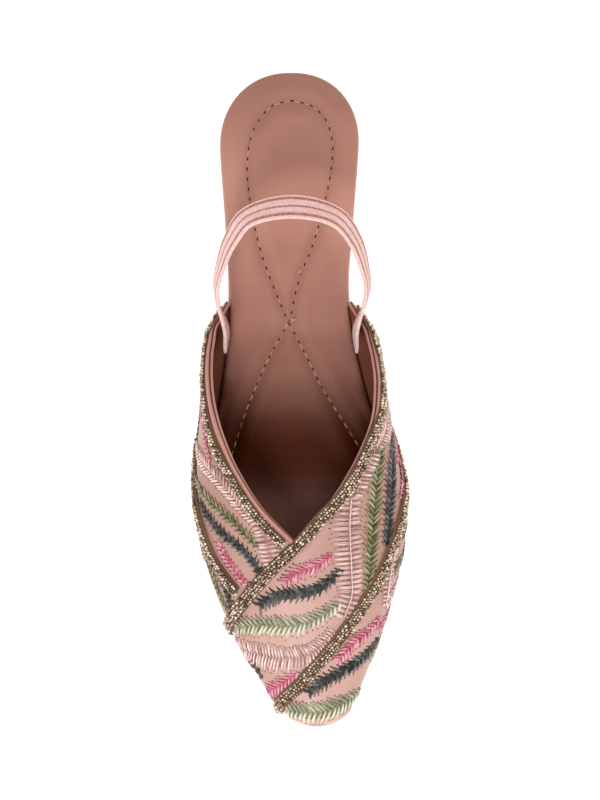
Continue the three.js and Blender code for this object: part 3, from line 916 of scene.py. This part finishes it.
def build_knots():
    t = np.linspace(-1, 1, len(DASH_WIDTH))
    paths = []
    for x, s in photo_plan(KNOTS):
        for _ in range(KNOT_ENDS):
            angle, bow = rng.uniform(0, math.pi), rng.uniform(-KNOT_BOW, KNOT_BOW)
            off_x, off_s = rng.normal(0, KNOT_SPREAD[0]), rng.normal(0, KNOT_SPREAD[1])
            end_x = x + off_x + KNOT_REACH * (t * math.cos(angle) - bow * t**2 * math.sin(angle))
            end_s = s + off_s + KNOT_REACH * (t * math.sin(angle) + bow * t**2 * math.cos(angle))
            path = footbed_top(np.stack([end_x, end_s], -1))
            path[:, 2] += KNOT_LIFT + KNOT_ARCH * (1 - t**2)
            paths.append(path)
    footbed_threads("footbed_knots", np.array(paths), KNOT_THREAD, 1.0, KNOT_TONES, THREADS["tan"])


# Skins of the upper, and the trough that each sewn trim pulls into the leather
BINDING_RUN = 3.0
BINDING_OVERLAP = 0.6
UPPER_ROWS = 44
COLLAR_COLUMNS = 96
VAMP_COLUMNS = 70
TOE_COLUMNS = 18
PULL_DEPTH = 0.45
PULL = (PULL_DEPTH, 3.3, 1.5)
PULL_SPACING = 0.8
# Painted shade on the upper: most towards the back and where it fades out, then its share down the sides and
# where it rises there
BACK_PAINTED_SHADE = (0.5, 180, 226)
SIDE_PAINTED_SHADE = 0.35
SIDE_PAINTED_SHADE_RISE = (0.6, 1)
LINING_PAINTED_SHADE = 0.7


def on_side(side, angle):
    """Angle round the upper of an angle that counts up from one of its sides."""
    return angle if side == "lateral" else 180 - angle


def both_sides(stations):
    """Stations from the outer wing to the front, and back to the inner wing."""
    return ("lateral", stations), ("medial", stations[-2::-1])


def collar_angle(side, at, run):
    return np.where(at - run >= THROAT, on_side(side, RIDGE_ANGLE), collar_on[side](at - run))


def wall_grid(stations, rows, run, depth):
    """Points up the wall in columns, from the outer wing round the toe to the inner wing."""
    columns = []
    for side, line in both_sides(stations):
        low = -fold_angle(inside_station(line, depth), depth)
        high = collar_angle(side, line, run)
        angle = low[:, None] + (high - low)[:, None] * np.linspace(0, 1, rows)
        columns.append(on_upper(line[:, None], on_side(side, angle), depth))
    return np.concatenate(columns)


def seam_pull(points):
    """Depth of the soft troughs along both edges of the trims."""
    depth = np.zeros(len(points))
    for route in TRIM_ROUTES.values():
        apart = nearest(points, evenly(surface(chart_line(route)), PULL_SPACING))
        depth = np.maximum(depth, ridge(apart, *PULL))
    return depth


def build_upper():
    run = BINDING_RUN - BINDING_OVERLAP
    collar = np.linspace(WING_END + run, THROAT + run, COLLAR_COLUMNS)
    vamp = np.linspace(THROAT + run, LENGTH - TOE_ROUND, VAMP_COLUMNS)[1:]
    toe = LENGTH - TOE_ROUND + TOE_ROUND * np.sin(quarter_circle(TOE_COLUMNS)[1:])
    stations = np.concatenate([collar, vamp, toe])
    outer, under, inner = (wall_grid(stations, UPPER_ROWS, run, depth) for depth in (0.0, PULL_DEPTH, WALL))
    pull = seam_pull(outer.reshape(-1, 3)).reshape(outer.shape[:2])
    outer = outer + unit(under - outer) * pull[..., None]
    faces = grid_faces(len(outer), UPPER_ROWS)
    at = station(outer[..., 1])
    beside = np.abs(outer[..., 0] + MIDDLE - centre(at)) / bulge(at)
    # Painted shade, darker towards the back of the upper and down its sides
    deep = fade(at, *BACK_PAINTED_SHADE) + SIDE_PAINTED_SHADE * smoothstep(beside, *SIDE_PAINTED_SHADE_RISE)
    piece("upper_skin", outer, faces, UPPER_LOOK, "upper_leather", hides="upper", deep=deep)
    # The lining takes a lighter share of the inside's painted shade
    deep = LINING_PAINTED_SHADE * inside_painted_shade(station(inner[..., 1]))
    piece("upper_lining", inner, faces[:, ::-1], LINING_LOOK, "upper_leather", deep=deep)


# Collar edge in section: distance ahead of the collar line, depth into the wall, whether it lies in the seam
BINDING_SECTION = (
    (3.4, 0.3, 0), (3.2, -0.2, 0), (2.6, -0.55, 0), (1.8, -0.65, 0), (1.0, -0.55, 0), (0.5, -0.25, 0),
    (0.3, 0.1, 0), (0.42, 0.3, 1), (0.75, 0.5, 1), (0.75, 0.8, 1), (0.3, 0.95, 1),
    (0.02, 1.1, 0), (-0.1, 1.4, 0), (0.0, 1.75, 0), (0.3, 2.0, 0), (1.5, 2.1, 0), (3.6, 2.0, 0),
)
BINDING_COLUMNS = 90


def build_binding():
    shape = np.array(BINDING_SECTION)
    columns = []
    for side, line in both_sides(np.linspace(WING_END, THROAT, BINDING_COLUMNS)):
        angle = on_side(side, collar_on[side](line))
        columns.append(np.stack([on_upper(line + run, angle, depth) for run, depth, _ in shape], 1))
    points = np.concatenate(columns)
    faces = grid_faces(len(points), len(shape))
    obj = piece("binding_roll", points, faces, BINDING_LOOK, "binding_leather", hides="topline_binding")
    obj.data.materials.append(SEAM_LOOK)
    in_seam = (shape[:-1, 2] + shape[1:, 2]) > 1
    obj.data.polygons.foreach_set("material_index", np.tile(in_seam, len(points) - 1).astype(int))


# Trims: routes over the upper as (at, around)
COLLAR_TRIM = table(
    "at lateral medial",
    (95, -60, -60),
    (102, -44, -45),
    (110, -25.5, -26.5),
    (118, -12.8, -14),
    (126, -1.5, -1),
    (134, 11, 14),
    (146, 30, 38),
    (154, 41, 49),
    (162, 50.5, 58.6),
    (170, 58, 68),
    (178, 66, 79),
    (188, 78.5, 91.5),
)
WRAP_FRONT = ((191.5, 83), (198.5, 71), (205, 59.5), (212, 44), (218, 24), (221.5, 5), (223, -8))
TOE_ROUTE = (
    (134.5, 216), (142, 203), (152, 188), (166, 175), (186, 155), (199, 146), (212, 134), (223, 121),
    (233.5, 104), (244, 79), (250, 49), (253.5, 20), (254.5, 5),
)
SIDE_ROUTE = ((136.5, -35), (144, -20), (154, -6), (166, 3.5), (180, 14.5), (194, 25), (202, 34), (207.3, 41))


def collar_route(side):
    return list(zip(COLLAR_TRIM["at"], on_side(side, COLLAR_TRIM[side])))


TRIM_ROUTES = {
    "trim_wrap": [*collar_route("medial"), *WRAP_FRONT],
    "trim_lateral_collar": collar_route("lateral"),
    "trim_toe": TOE_ROUTE,
    "trim_lateral_side": SIDE_ROUTE,
}
# Rows of beads, their pitch, and the braid that shows left and right of them
TRIM_BEADS = {
    "trim_wrap": (4, 1.25, 0.4, 0.2),
    "trim_lateral_collar": (3, 1.25, 0.3, 0.3),
    "trim_toe": (4, 1.2, 0.8, 0.2),
    "trim_lateral_side": (3, 1.25, 0.3, 0.7),
}
BRAID_EDGE = 0.1
BRAID_SHOULDER = 0.6
BRAID_TOP = 0.75
BRAID_BEVEL = 0.2
BEAD_GAP = 0.55
BEAD_FILL = 0.5
BEAD_CROWN = 0.25
BEAD_WOBBLE = 0.1
BEAD_SIZES = (0.82, 1.1)
# Bead colours, picked for each bead at random: real differences between beads, with painted glints at the
# light end and painted shade at the dark end
BEAD_COLOURS_AND_PAINTED_GLINTS = (
    (0, srgb(96, 72, 54)), (0.3, srgb(160, 134, 110)), (0.75, srgb(196, 172, 148)), (1, srgb(240, 224, 204)),
)


def bead_look():
    look = Look("champagne_beads", rough=0.2, metal=0.55, specular=0.8)
    look.set(colour=look.ramp(look.attribute("tone"), *BEAD_COLOURS_AND_PAINTED_GLINTS))
    return look.material


BEAD_LOOK = bead_look()


def bead_shape():
    bpy.ops.mesh.primitive_ico_sphere_add(subdivisions=2, radius=1)
    ball = bpy.context.object
    points = np.array([v.co for v in ball.data.vertices])
    faces = np.array([p.vertices[:] for p in ball.data.polygons])
    bpy.data.objects.remove(ball, do_unlink=True)
    return points, faces


def build_trim(name, rows, pitch, braid_left, braid_right):
    """Rows of round beads set on a flat braid that shows along its edges."""
    _, ground, ahead, beside, up = laid_out(TRIM_ROUTES[name], pitch)
    half = pitch * rows / 2
    left, right = -half - braid_left, half + braid_right
    section = (
        (left, BRAID_EDGE), (left + BRAID_BEVEL, BRAID_SHOULDER), (-half, BRAID_TOP), (0, BRAID_TOP),
        (half, BRAID_TOP), (right - BRAID_BEVEL, BRAID_SHOULDER), (right, BRAID_EDGE),
    )
    base = np.stack([ground + beside * across + up * height for across, height in section], 1)
    faces = grid_faces(len(base), len(section))[:, ::-1]
    piece(name + "_braid", base, faces, BRAID_LOOK, "bead_trim", hides=name)

    shape, shape_faces = bead_shape()
    radius = pitch * BEAD_FILL
    centres = []
    for row in range(rows):
        across = (row - (rows - 1) / 2) * pitch
        lag = pitch / 2 * (row % 2)
        wobble = rng.normal(0, BEAD_WOBBLE * pitch, ground.shape)
        height = BEAD_GAP + radius + BEAD_CROWN * (1 - (across / half) ** 2)
        centres.append(ground + beside * across + ahead * lag + up * height + wobble)
    centres = np.concatenate(centres)
    size = rng.uniform(*BEAD_SIZES, (len(centres), 1, 1)) * radius
    faces = repeated(shape_faces, len(centres), len(shape))
    # Random value per bead, which also places painted glints and painted shade
    tone = np.repeat(rng.uniform(0, 1, len(centres)), len(shape))
    points = centres[:, None] + shape * size
    piece(name + "_beads", points, faces, BEAD_LOOK, "bead_trim", hides=name, tone=tone)


# Embroidery: thread colour, half width and spine of each leaf in photo pixels, from its base to its tip
LEAVES = (
    ("hot_pink", 1.9, ((61.5, 412), (64.5, 430), (67, 447), (71, 463))),
    ("light_pink", 4.0, ((52, 446), (64, 466), (78, 481), (90, 494), (103, 511), (113, 522))),
    ("sage", 2.9, ((55, 475), (67, 499), (90, 520), (104, 534), (119, 549))),
    ("charcoal", 3.0, ((61, 505), (79, 532), (95, 545), (110, 559), (122, 578))),
    ("hot_pink", 2.2, ((79, 546), (87, 561), (96, 573), (104, 583), (114, 591))),
    ("light_pink", 1.6, ((54, 505), (58, 532), (63, 548))),
    ("sage", 2.1, ((62, 540), (71, 572), (78, 592), (88, 614))),
    ("charcoal", 2.3, ((79, 570), (84, 586), (88, 598), (91, 611))),
    ("sage", 3.8, ((240, 452), (236, 482), (233, 516), (231, 549), (227, 592))),
    ("charcoal", 4.0, ((252, 440), (251, 466), (249.7, 499), (245, 547))),
    ("hot_pink", 2.1, ((259, 446), (261, 474), (259, 500))),
    ("hot_pink", 3.6, ((146, 583), (160, 573), (176, 567), (193, 555))),
    ("charcoal", 3.8, ((121, 607), (138, 597), (159, 595), (179, 589), (202, 571))),
    ("pale_green", 4.8, ((99, 630), (122, 627), (147, 628), (172, 622), (199, 606))),
    ("charcoal", 2.0, ((112, 664), (117, 672), (122, 680))),
    ("hot_pink", 3.6, ((127, 698), (142, 686), (157, 674))),
    ("hot_pink", 3.0, ((199, 661), (212, 646), (226, 635), (240, 619))),
    ("charcoal", 3.4, ((170, 694), (188, 681), (206, 671), (224, 659), (238, 641))),
    ("pale_green", 4.8, ((149, 713), (172, 715), (191, 712), (207, 704), (220, 692))),
)
# Leaves of long, close, nearly square-set stitches: reach to the left and right of the spine, pitch, slant
# back, whether a white chain runs along the spine, and the spine
COMBS = (
    (7.6, 6.0, 2.1, 0.1, True, ((210.5, 500), (209, 520), (209.5, 545), (211, 575), (211, 597), (204, 618))),
    (0.8, 5.6, 1.7, 0.2, False, ((233, 456), (224, 474), (215, 496))),
    (5.6, 5.6, 1.8, 0.1, False, ((117, 519), (124, 533), (129, 550), (132, 570))),
    (5.6, 5.6, 1.4, 0.5, False, ((251, 410), (246, 428), (236, 450))),
    (3.4, 3.0, 1.9, 0.15, True, ((256, 535), (252, 560), (248, 585), (245, 607))),
    (6.8, 5.2, 1.35, 0.25, False, ((99, 648), (123, 657), (148, 660), (172, 655), (194, 634))),
)
# Leaves on the side walls, out of sight from above: (at, around)
SIDE_LEAVES = (
    ("hot_pink", 2.6, ((154, 170), (147, 184), (141, 196))),
    ("light_pink", 3.6, ((146, 162), (136, 184), (129, 206))),
    ("sage", 3.2, ((134, 179), (124, 196), (117, 214))),
    ("charcoal", 2.8, ((121, 201), (112, 216), (106, 230))),
    ("hot_pink", 2.0, ((107, 226), (100, 241))),
    ("sage", 3.0, ((157, 184), (150, 194), (146, 203))),
    ("light_pink", 3.2, ((170, 176), (163, 188), (156, 200))),
    ("charcoal", 3.4, ((184, 168), (176, 184), (168, 197))),
    ("sage", 3.4, ((198, 166), (190, 182), (182, 196))),
    ("light_pink", 3.4, ((212, 164), (204, 180), (196, 194))),
    ("hot_pink", 2.8, ((222, 166), (214, 182), (208, 193))),
    ("pale_green", 3.0, ((234, 168), (226, 182), (220, 192))),
    ("charcoal", 2.2, ((128, -13), (138, -9), (147, -4))),
    ("light_pink", 3.2, ((135, -25), (126, -38), (117, -50), (109, -59))),
    ("sage", 2.4, ((127, -20), (119, -30), (111, -42), (104, -55))),
    ("light_pink", 3.2, ((164, -5), (158, -12), (152, -20))),
    ("charcoal", 3.0, ((178, -5), (172, -13), (166, -21))),
    ("light_pink", 3.2, ((193, 4), (187, -6), (181, -15))),
    ("hot_pink", 2.8, ((236, 14), (231, 0), (226, -12))),
)
# Sewing of each thread: stitch pitch, how far stitches slant back, how much the two sides differ in painted
# sheen
SEWING = {
    "light_pink": (1.6, 0.8, -0.12),
    "hot_pink": (1.9, 0.9, -0.12),
    "sage": (2.3, 1.1, -0.14),
    "pale_green": (1.9, 0.65, -0.25),
    "charcoal": (2.2, 0.7, -0.14),
}
# Painted sheen: how much the two sides of a comb leaf differ
COMB_PAINTED_SHEEN = -0.08
# Darkest and lightest stitch of each thread
SHADES = {
    "light_pink": (0.65, 1.1),
    "hot_pink": (0.4, 0.95),
    "sage": (0.35, 0.9),
    "pale_green": (0.5, 1),
    "charcoal": (0, 0.9),
}
# Leaves swell from their base and narrow to the tip; towards the back they take painted shade
LEAF_LEAST = 0.55
LEAF_SWELL = (0.15, 0.95)
LEAF_PAINTED_SHADE = (0.1, 175, 226)
LEAF_TOE_GAP = 1.2
# Painted shadow under each leaf, in its thread's dark shade: share of the half width it covers, parts across
# it, slant back and lift
PAINTED_SHADOW_REACH = 0.55
PAINTED_SHADOW_PARTS = 7
PAINTED_SHADOW_SLANT = 0.5
PAINTED_SHADOW_LIFT = 0.1
# Stitches: strands side by side that fan out and arch over, each a little longer, shorter or darker
STRANDS = 3
STRAND_APART = 0.22
STRAND_WIDTH = 0.2
STRAND_FLAT = 0.8
STRAND_REACHES = (0.93, 1.03)
STRAND_TONES = 0.17
STITCH_HEIGHT = 0.7
STITCH_SINK = 0.1
STITCH_PARTS = 7
STITCH_FROM = -0.08
STITCH_REACHES = (0.84, 1.12)
STITCH_SKEW = 0.14
ARCH_POWER = 0.8
FAN_FROM = 0.22
FAN_RUN = 0.72
OUTER_LOWER = 0.2
# Painted shade on the outer strands of a stitch, and at both ends of each stitch with a painted highlight
# along its crest
OUTER_STRAND_PAINTED_SHADE = 0.08
STITCH_END_PAINTED_SHADE = 0.4
THREAD_SIDES = 5
THREAD_ENDS = (0.3, 0.2)
THREAD_POWER = 0.6
HOLE_OUT = 0.12
HOLE_LIFT = 0.22
HOLE_RADIUS = 0.38
HOLE_HEIGHT = 0.14
HOLE_SIDES = 8
NEAR_X = 0.9
CHAIN_LINK = 2.0
CHAIN_WIDTH = 0.26
CHAIN_LIFT = 0.45
CHAIN_ARCH = 0.35
CHAIN_TONE = 0.6
LINK_SPAN = (-0.1, 1.1)
LINK_WIDTH = (0.2, 0.9, 1, 1, 0.9, 0.2)


class Leaf:
    """Spine of a leaf laid out on the upper at even stitch steps."""

    def __init__(self, spine, half, pitch, shades):
        self.spots, _, self.ahead, self.beside, _ = laid_out(spine, pitch)
        swell = half_wave(np.linspace(*LEAF_SWELL, len(self.spots)))
        swell = LEAF_LEAST + (1 - LEAF_LEAST) * swell
        self.size = {side: reach * swell for side, reach in zip((-1, 1), np.broadcast_to(half, 2))}
        # Painted shade that grows towards the back of the upper
        self.painted_dimming = fade(self.spots[:, 0], *LEAF_PAINTED_SHADE)
        self.pitch = pitch
        self.shades = shades

    def moved(self, sideways, forward):
        """(at, around) of places beside and ahead of each stitch's root."""
        step = self.beside[:, None] * sideways[..., None] + self.ahead[:, None] * forward[..., None]
        at, around = moved(self.spots[:, None, 0], self.spots[:, None, 1], step)
        return np.minimum(at, LENGTH - LEAF_TOE_GAP), around

    def painted_shadow_patch(self):
        """Thin patch in the thread's dark shade under the stitches: painted shadow in the gaps between them.
        """
        across = np.linspace(-PAINTED_SHADOW_REACH, PAINTED_SHADOW_REACH, PAINTED_SHADOW_PARTS)
        sideways = np.where(across < 0, self.size[-1][:, None], self.size[1][:, None]) * across
        patch = lifted(*self.moved(sideways, -PAINTED_SHADOW_SLANT * np.abs(sideways)), PAINTED_SHADOW_LIFT)
        return patch.reshape(-1, 3), grid_faces(*patch.shape[:2])


def strands(leaf, slant, painted_sheen):
    """Paths, directions and shades of all strands of a leaf, the shades with painted sheen and painted shade,
    and the needle holes at their outer ends.
    """
    found = {"path": [], "up": [], "tone": [], "hole": [], "hole_up": []}
    count = len(leaf.spots)
    t = np.linspace(STITCH_FROM, 1, STITCH_PARTS)
    rise = arched(STITCH_PARTS)
    spread = leaf.pitch * STRAND_APART * half_wave(t * FAN_RUN + FAN_FROM)
    for side in (-1, 1):
        reach = leaf.size[side] * rng.uniform(*STITCH_REACHES, count)
        skew = rng.normal(0, STITCH_SKEW, (count, 1))
        # Random shade of each stitch, painted sheen on one side of the leaf, painted shade towards the back
        shade = rng.uniform(*leaf.shades, count) + painted_sheen * side - leaf.painted_dimming
        for strand in range(STRANDS):
            off = strand - (STRANDS - 1) / 2
            out = (reach * rng.uniform(*STRAND_REACHES, count))[:, None] * t
            at, around = leaf.moved(side * out, -slant * out + off * spread + skew)
            height = STITCH_HEIGHT * (1 - OUTER_LOWER * abs(off)) * rise**ARCH_POWER - STITCH_SINK
            path = lifted(at, around, height)
            up = tangents(at, around)[2]
            # Painted highlight along the crest of each stitch and painted shade at its ends
            tone = (shade + rng.normal(0, STRAND_TONES, count))[:, None] * (STITCH_END_PAINTED_SHADE + (1 - STITCH_END_PAINTED_SHADE) * rise)
            found["path"].append(path)
            found["up"].append(up)
            # Outer strands of a stitch take more painted shade
            found["tone"].append(np.clip(tone - OUTER_STRAND_PAINTED_SHADE * abs(off), 0, 1))
            if strand == STRANDS // 2:
                end = path[:, -1]
                found["hole"].append(end + HOLE_OUT * (end - path[:, -2]) + HOLE_LIFT * up[:, -1])
                found["hole_up"].append(up[:, -1])
    return {key: np.concatenate(value) for key, value in found.items()}


def gathered(parts, *keys):
    return [np.concatenate([part[key] for part in parts]) for key in keys]


def build_embroidery():
    sewn, under, stitches = {}, {}, []

    def sew(colour, half, spine, pitch, slant, painted_sheen):
        leaf = Leaf(spine, half, pitch, SHADES[colour])
        stitches.append(strands(leaf, slant, painted_sheen))
        sewn.setdefault(colour, []).append(stitches[-1])
        under.setdefault(colour, []).append(leaf.painted_shadow_patch())

    for colour, half, pixels in LEAVES:
        sew(colour, half, from_photo(pixels), *SEWING[colour])
    for left, right, pitch, slant, _, pixels in COMBS:
        sew("light_pink", (left, right), from_photo(pixels), pitch, slant, COMB_PAINTED_SHEEN)
    for colour, half, spine in SIDE_LEAVES:
        sew(colour, half, spine, *SEWING[colour])

    ends = np.linspace(THREAD_ENDS[0], math.pi - THREAD_ENDS[1], STITCH_PARTS)
    width = STRAND_WIDTH * np.sin(ends) ** THREAD_POWER
    for colour, parts in sewn.items():
        path, up, tone = gathered(parts, "path", "up", "tone")
        points, faces = tube_mesh(path, up, width, STRAND_FLAT, THREAD_SIDES)
        tone = np.repeat(tone.ravel(), THREAD_SIDES)
        piece("embroidery_" + colour, points, faces, THREADS[colour], "upper_leather", tone=tone)
        # Painted shadow patches in the dark shade of each thread
        points, faces = joined(under[colour])
        tone = np.zeros(len(points))
        piece("painted_shadow_" + colour, points, faces, THREADS[colour], "upper_leather", tone=tone)
    build_holes(*gathered(stitches, "hole", "hole_up"))
    build_chain()


def build_holes(centres, ups):
    """Needle holes at the ends of the stitches, as small flat domes in painted shade."""
    turn = full_circle(HOLE_SIDES)[:, None]
    helper = np.where(np.abs(ups[:, :1]) < NEAR_X, [[1.0, 0, 0]], [[0, 1.0, 0]])
    u = unit(np.cross(ups, helper))
    v = np.cross(ups, u)
    circle = u[:, None] * np.cos(turn) + v[:, None] * np.sin(turn)
    base = centres[:, None] + circle * HOLE_RADIUS - ups[:, None] * HOLE_HEIGHT
    points = np.concatenate([base, (centres + ups * HOLE_HEIGHT)[:, None]], 1)
    dome = np.array([[i, (i + 1) % HOLE_SIDES, HOLE_SIDES] for i in range(HOLE_SIDES)])
    faces = repeated(dome, len(centres), HOLE_SIDES + 1)
    piece("embroidery_holes", points, faces, HOLE_SHADE_LOOK, "upper_leather")


def build_chain():
    """White chain stitches over the spines of the comb leaves."""
    parts = len(LINK_WIDTH)
    t = np.linspace(*LINK_SPAN, parts)
    spines = [from_photo(pixels) for *_, chained, pixels in COMBS if chained]
    link = np.concatenate([dashes(chart_spots(spine, CHAIN_LINK), t) for spine in spines])
    at, around = np.moveaxis(link, -1, 0)
    path = lifted(at, around, CHAIN_LIFT + CHAIN_ARCH * arched(parts))
    wide = np.multiply(LINK_WIDTH, CHAIN_WIDTH)
    points, faces = tube_mesh(path, tangents(at, around)[2], wide, sides=THREAD_SIDES)
    tone = np.full(len(points), CHAIN_TONE)
    piece("embroidery_chain", points, faces, THREADS["white"], "upper_leather", tone=tone)


# Sling strap from the wings to its middle: place along, place across on the outer and the inner side, height
# and tilt
STRAP_SIDE = (
    (108, -25.3, 26.1, 21.8, -10),
    (103, -25.8, 26.6, 27.4, -8),
    (98, -27.2, 28, 32.8, -3),
    (93, -28.7, 29.7, 36.6, 2),
    (86, -29.2, 30.8, 40.8, 9),
    (79, -27.8, 29.7, 44.6, 17),
    (68, -23.6, 25.8, 50.7, 29),
    (59, -16.6, 18.2, 56.5, 42),
    (55, 0.8, 0.8, 59.5, 52),
)
STRAP_WIDTH = 12
STRAP_THICK = 1.6
STRAP_ROWS = 41
STRAP_PARTS = 24
STRAP_SPACING = 0.8
STRAP_EDGE_POWER = 9
STRAP_GROOVES = (-0.64, 0.03, 0.7)
STRAP_GROOVE_WIDE = 0.07
STRAP_GROOVE_DEPTH = 0.32
# Colours across the band, and its weave
STRAP_PALE = srgb(236, 192, 182)
STRAP_LINE = srgb(168, 88, 84)
STRAP_EDGE = srgb(242, 206, 196)
STRAP_BANDS = (
    (0.0, STRAP_EDGE), (0.1, STRAP_EDGE), (0.15, STRAP_LINE), (0.21, STRAP_LINE), (0.27, STRAP_PALE),
    (0.47, STRAP_PALE), (0.505, STRAP_LINE), (0.53, STRAP_LINE), (0.57, STRAP_PALE), (0.77, STRAP_PALE),
    (0.83, STRAP_LINE), (0.89, STRAP_LINE), (0.94, STRAP_EDGE),
)
WEAVE_PITCH = 1.3
WEAVE_FOLD = 0.5
WEAVE_ZIGZAG = 0.07
WEAVE_RIBS = 2.0
WEAVE_RIB_DEPTH = 0.00025
WEAVE_FLECKS = 0.18


def strap_look():
    look = Look("woven_elastic", rough=0.7, sheen=0.4, specular=0.3)
    across, along = look.attribute("across"), look.attribute("along")
    zigzag = look.maths("PINGPONG", along, WEAVE_FOLD)
    band = look.ramp(look.maths("MULTIPLY_ADD", zigzag, WEAVE_ZIGZAG, across), *STRAP_BANDS)
    look.set(colour=look.mix(WEAVE_FLECKS, band, look.mottled("elastic", STRAP_PALE, STRAP_LINE)))
    ribs = look.maths("PINGPONG", look.maths("MULTIPLY", along, WEAVE_RIBS), WEAVE_FOLD)
    return look.relief((ribs, WEAVE_RIB_DEPTH), WEAVE_GRAIN)


def build_strap():
    outer = [(x, station(at), z, tilt) for at, x, _, z, tilt in STRAP_SIDE]
    inner = [(x, station(at), z, tilt) for at, _, x, z, tilt in STRAP_SIDE[-2::-1]]
    line = smooth_line(outer + inner, STRAP_PARTS)
    line = evenly(line, STRAP_SPACING, line[:, :3])
    path = line[:, :3] - [MIDDLE, 0, 0]
    ahead = unit(np.gradient(path, axis=0))
    up = unit(np.array([0, 0, 1.0]) - ahead * ahead[:, 2:])
    out = unit(np.cross(up, ahead))
    angle = np.radians(line[:, 3:])
    wide = up * np.cos(angle) - out * np.sin(angle)
    face = out * np.cos(angle) + up * np.sin(angle)

    # Section: woven ridges across both faces and round edges
    v = np.linspace(-1, 1, STRAP_ROWS)
    grooves = sum(ridge(v, STRAP_GROOVE_DEPTH, at, STRAP_GROOVE_WIDE) for at in STRAP_GROOVES)
    thick = STRAP_THICK / 2 * (np.sqrt(np.maximum(0, 1 - np.abs(v) ** STRAP_EDGE_POWER)) - grooves)
    thick, v = np.concatenate([thick, -thick[-2:0:-1]]), np.concatenate([v, v[-2:0:-1]])
    points = np.stack([path + face * t + wide * (a * STRAP_WIDTH / 2) for t, a in zip(thick, v)], 1)
    faces = closed_faces(*points.shape[:2])[:, ::-1]
    along = np.repeat(lengths(path) / WEAVE_PITCH, len(v))
    weave = {"across": np.tile((v + 1) / 2, len(points)), "along": along}
    piece("strap_band", points, faces, strap_look(), "elastic_band", hides="sling_strap", **weave)


pad_ring = build_sole()
build_ribs(pad_ring)
build_discs()
build_scrolls(pad_ring)
build_footbed()
build_footbed_seam()
build_knots()
build_upper()
build_binding()
for trim, beads in TRIM_BEADS.items():
    build_trim(trim, *beads)
build_embroidery()
build_strap()

# Floor, light and camera, in metres
CAMERA_HEIGHT = 2.4
FIELD = 0.32
SENSOR = 36
FOCUS_HEIGHT = 0.02
FLOOR = -0.0002
STUDIO_RADIUS = 6
STUDIO_WALL = 1.2
STUDIO_SIDES = 64
WHITE = (1, 1, 1, 1)
WORLD_GLOW = 0.56
# Place, size and power of the lights
LIGHTS = {"key": ((-0.25, -0.6, 1.1), 0.5, 9), "fill": ((0.7, 0.2, 1.1), 0.7, 3)}

scene = bpy.context.scene
floor_look = Look("studio_floor", rough=0.9, colour=(0.9, 0.9, 0.9, 1), glow=0.62, glow_colour=WHITE)
turn = full_circle(STUDIO_SIDES)
plan = STUDIO_RADIUS * np.stack([np.cos(turn), np.sin(turn)], -1)
circle = np.insert(plan, 2, FLOOR, axis=1)
studio_mesh = bpy.data.meshes.new("studio")
studio_mesh.from_pydata(
    np.concatenate([circle, circle + [0, 0, STUDIO_WALL]]).tolist(),
    [],
    [list(range(STUDIO_SIDES)), *grid_faces(2, STUDIO_SIDES, True).tolist()],
)
studio_mesh.materials.append(floor_look.material)
studio = bpy.data.objects.new("studio", studio_mesh)
scene.collection.objects.link(studio)

world = bpy.data.worlds.new("studio")
world.use_nodes = True
background = world.node_tree.nodes["Background"].inputs
background["Color"].default_value = WHITE
background["Strength"].default_value = WORLD_GLOW
scene.world = world

for light_name, (place, size, power) in LIGHTS.items():
    data = bpy.data.lights.new(light_name, "AREA")
    data.energy = power
    data.shape = "DISK"
    data.size = size
    light = bpy.data.objects.new(light_name, data)
    light.location = place
    aim = Vector((0, 0, FOCUS_HEIGHT)) - Vector(place)
    light.rotation_euler = aim.to_track_quat("-Z", "Y").to_euler()
    scene.collection.objects.link(light)

camera_data = bpy.data.cameras.new("camera")
camera_data.sensor_width = SENSOR
camera_data.lens = SENSOR * CAMERA_HEIGHT / FIELD
camera = bpy.data.objects.new("camera", camera_data)
camera.location = (0, 0, CAMERA_HEIGHT + FOCUS_HEIGHT)
scene.collection.objects.link(camera)
scene.camera = camera
scene.view_settings.view_transform = "Standard"
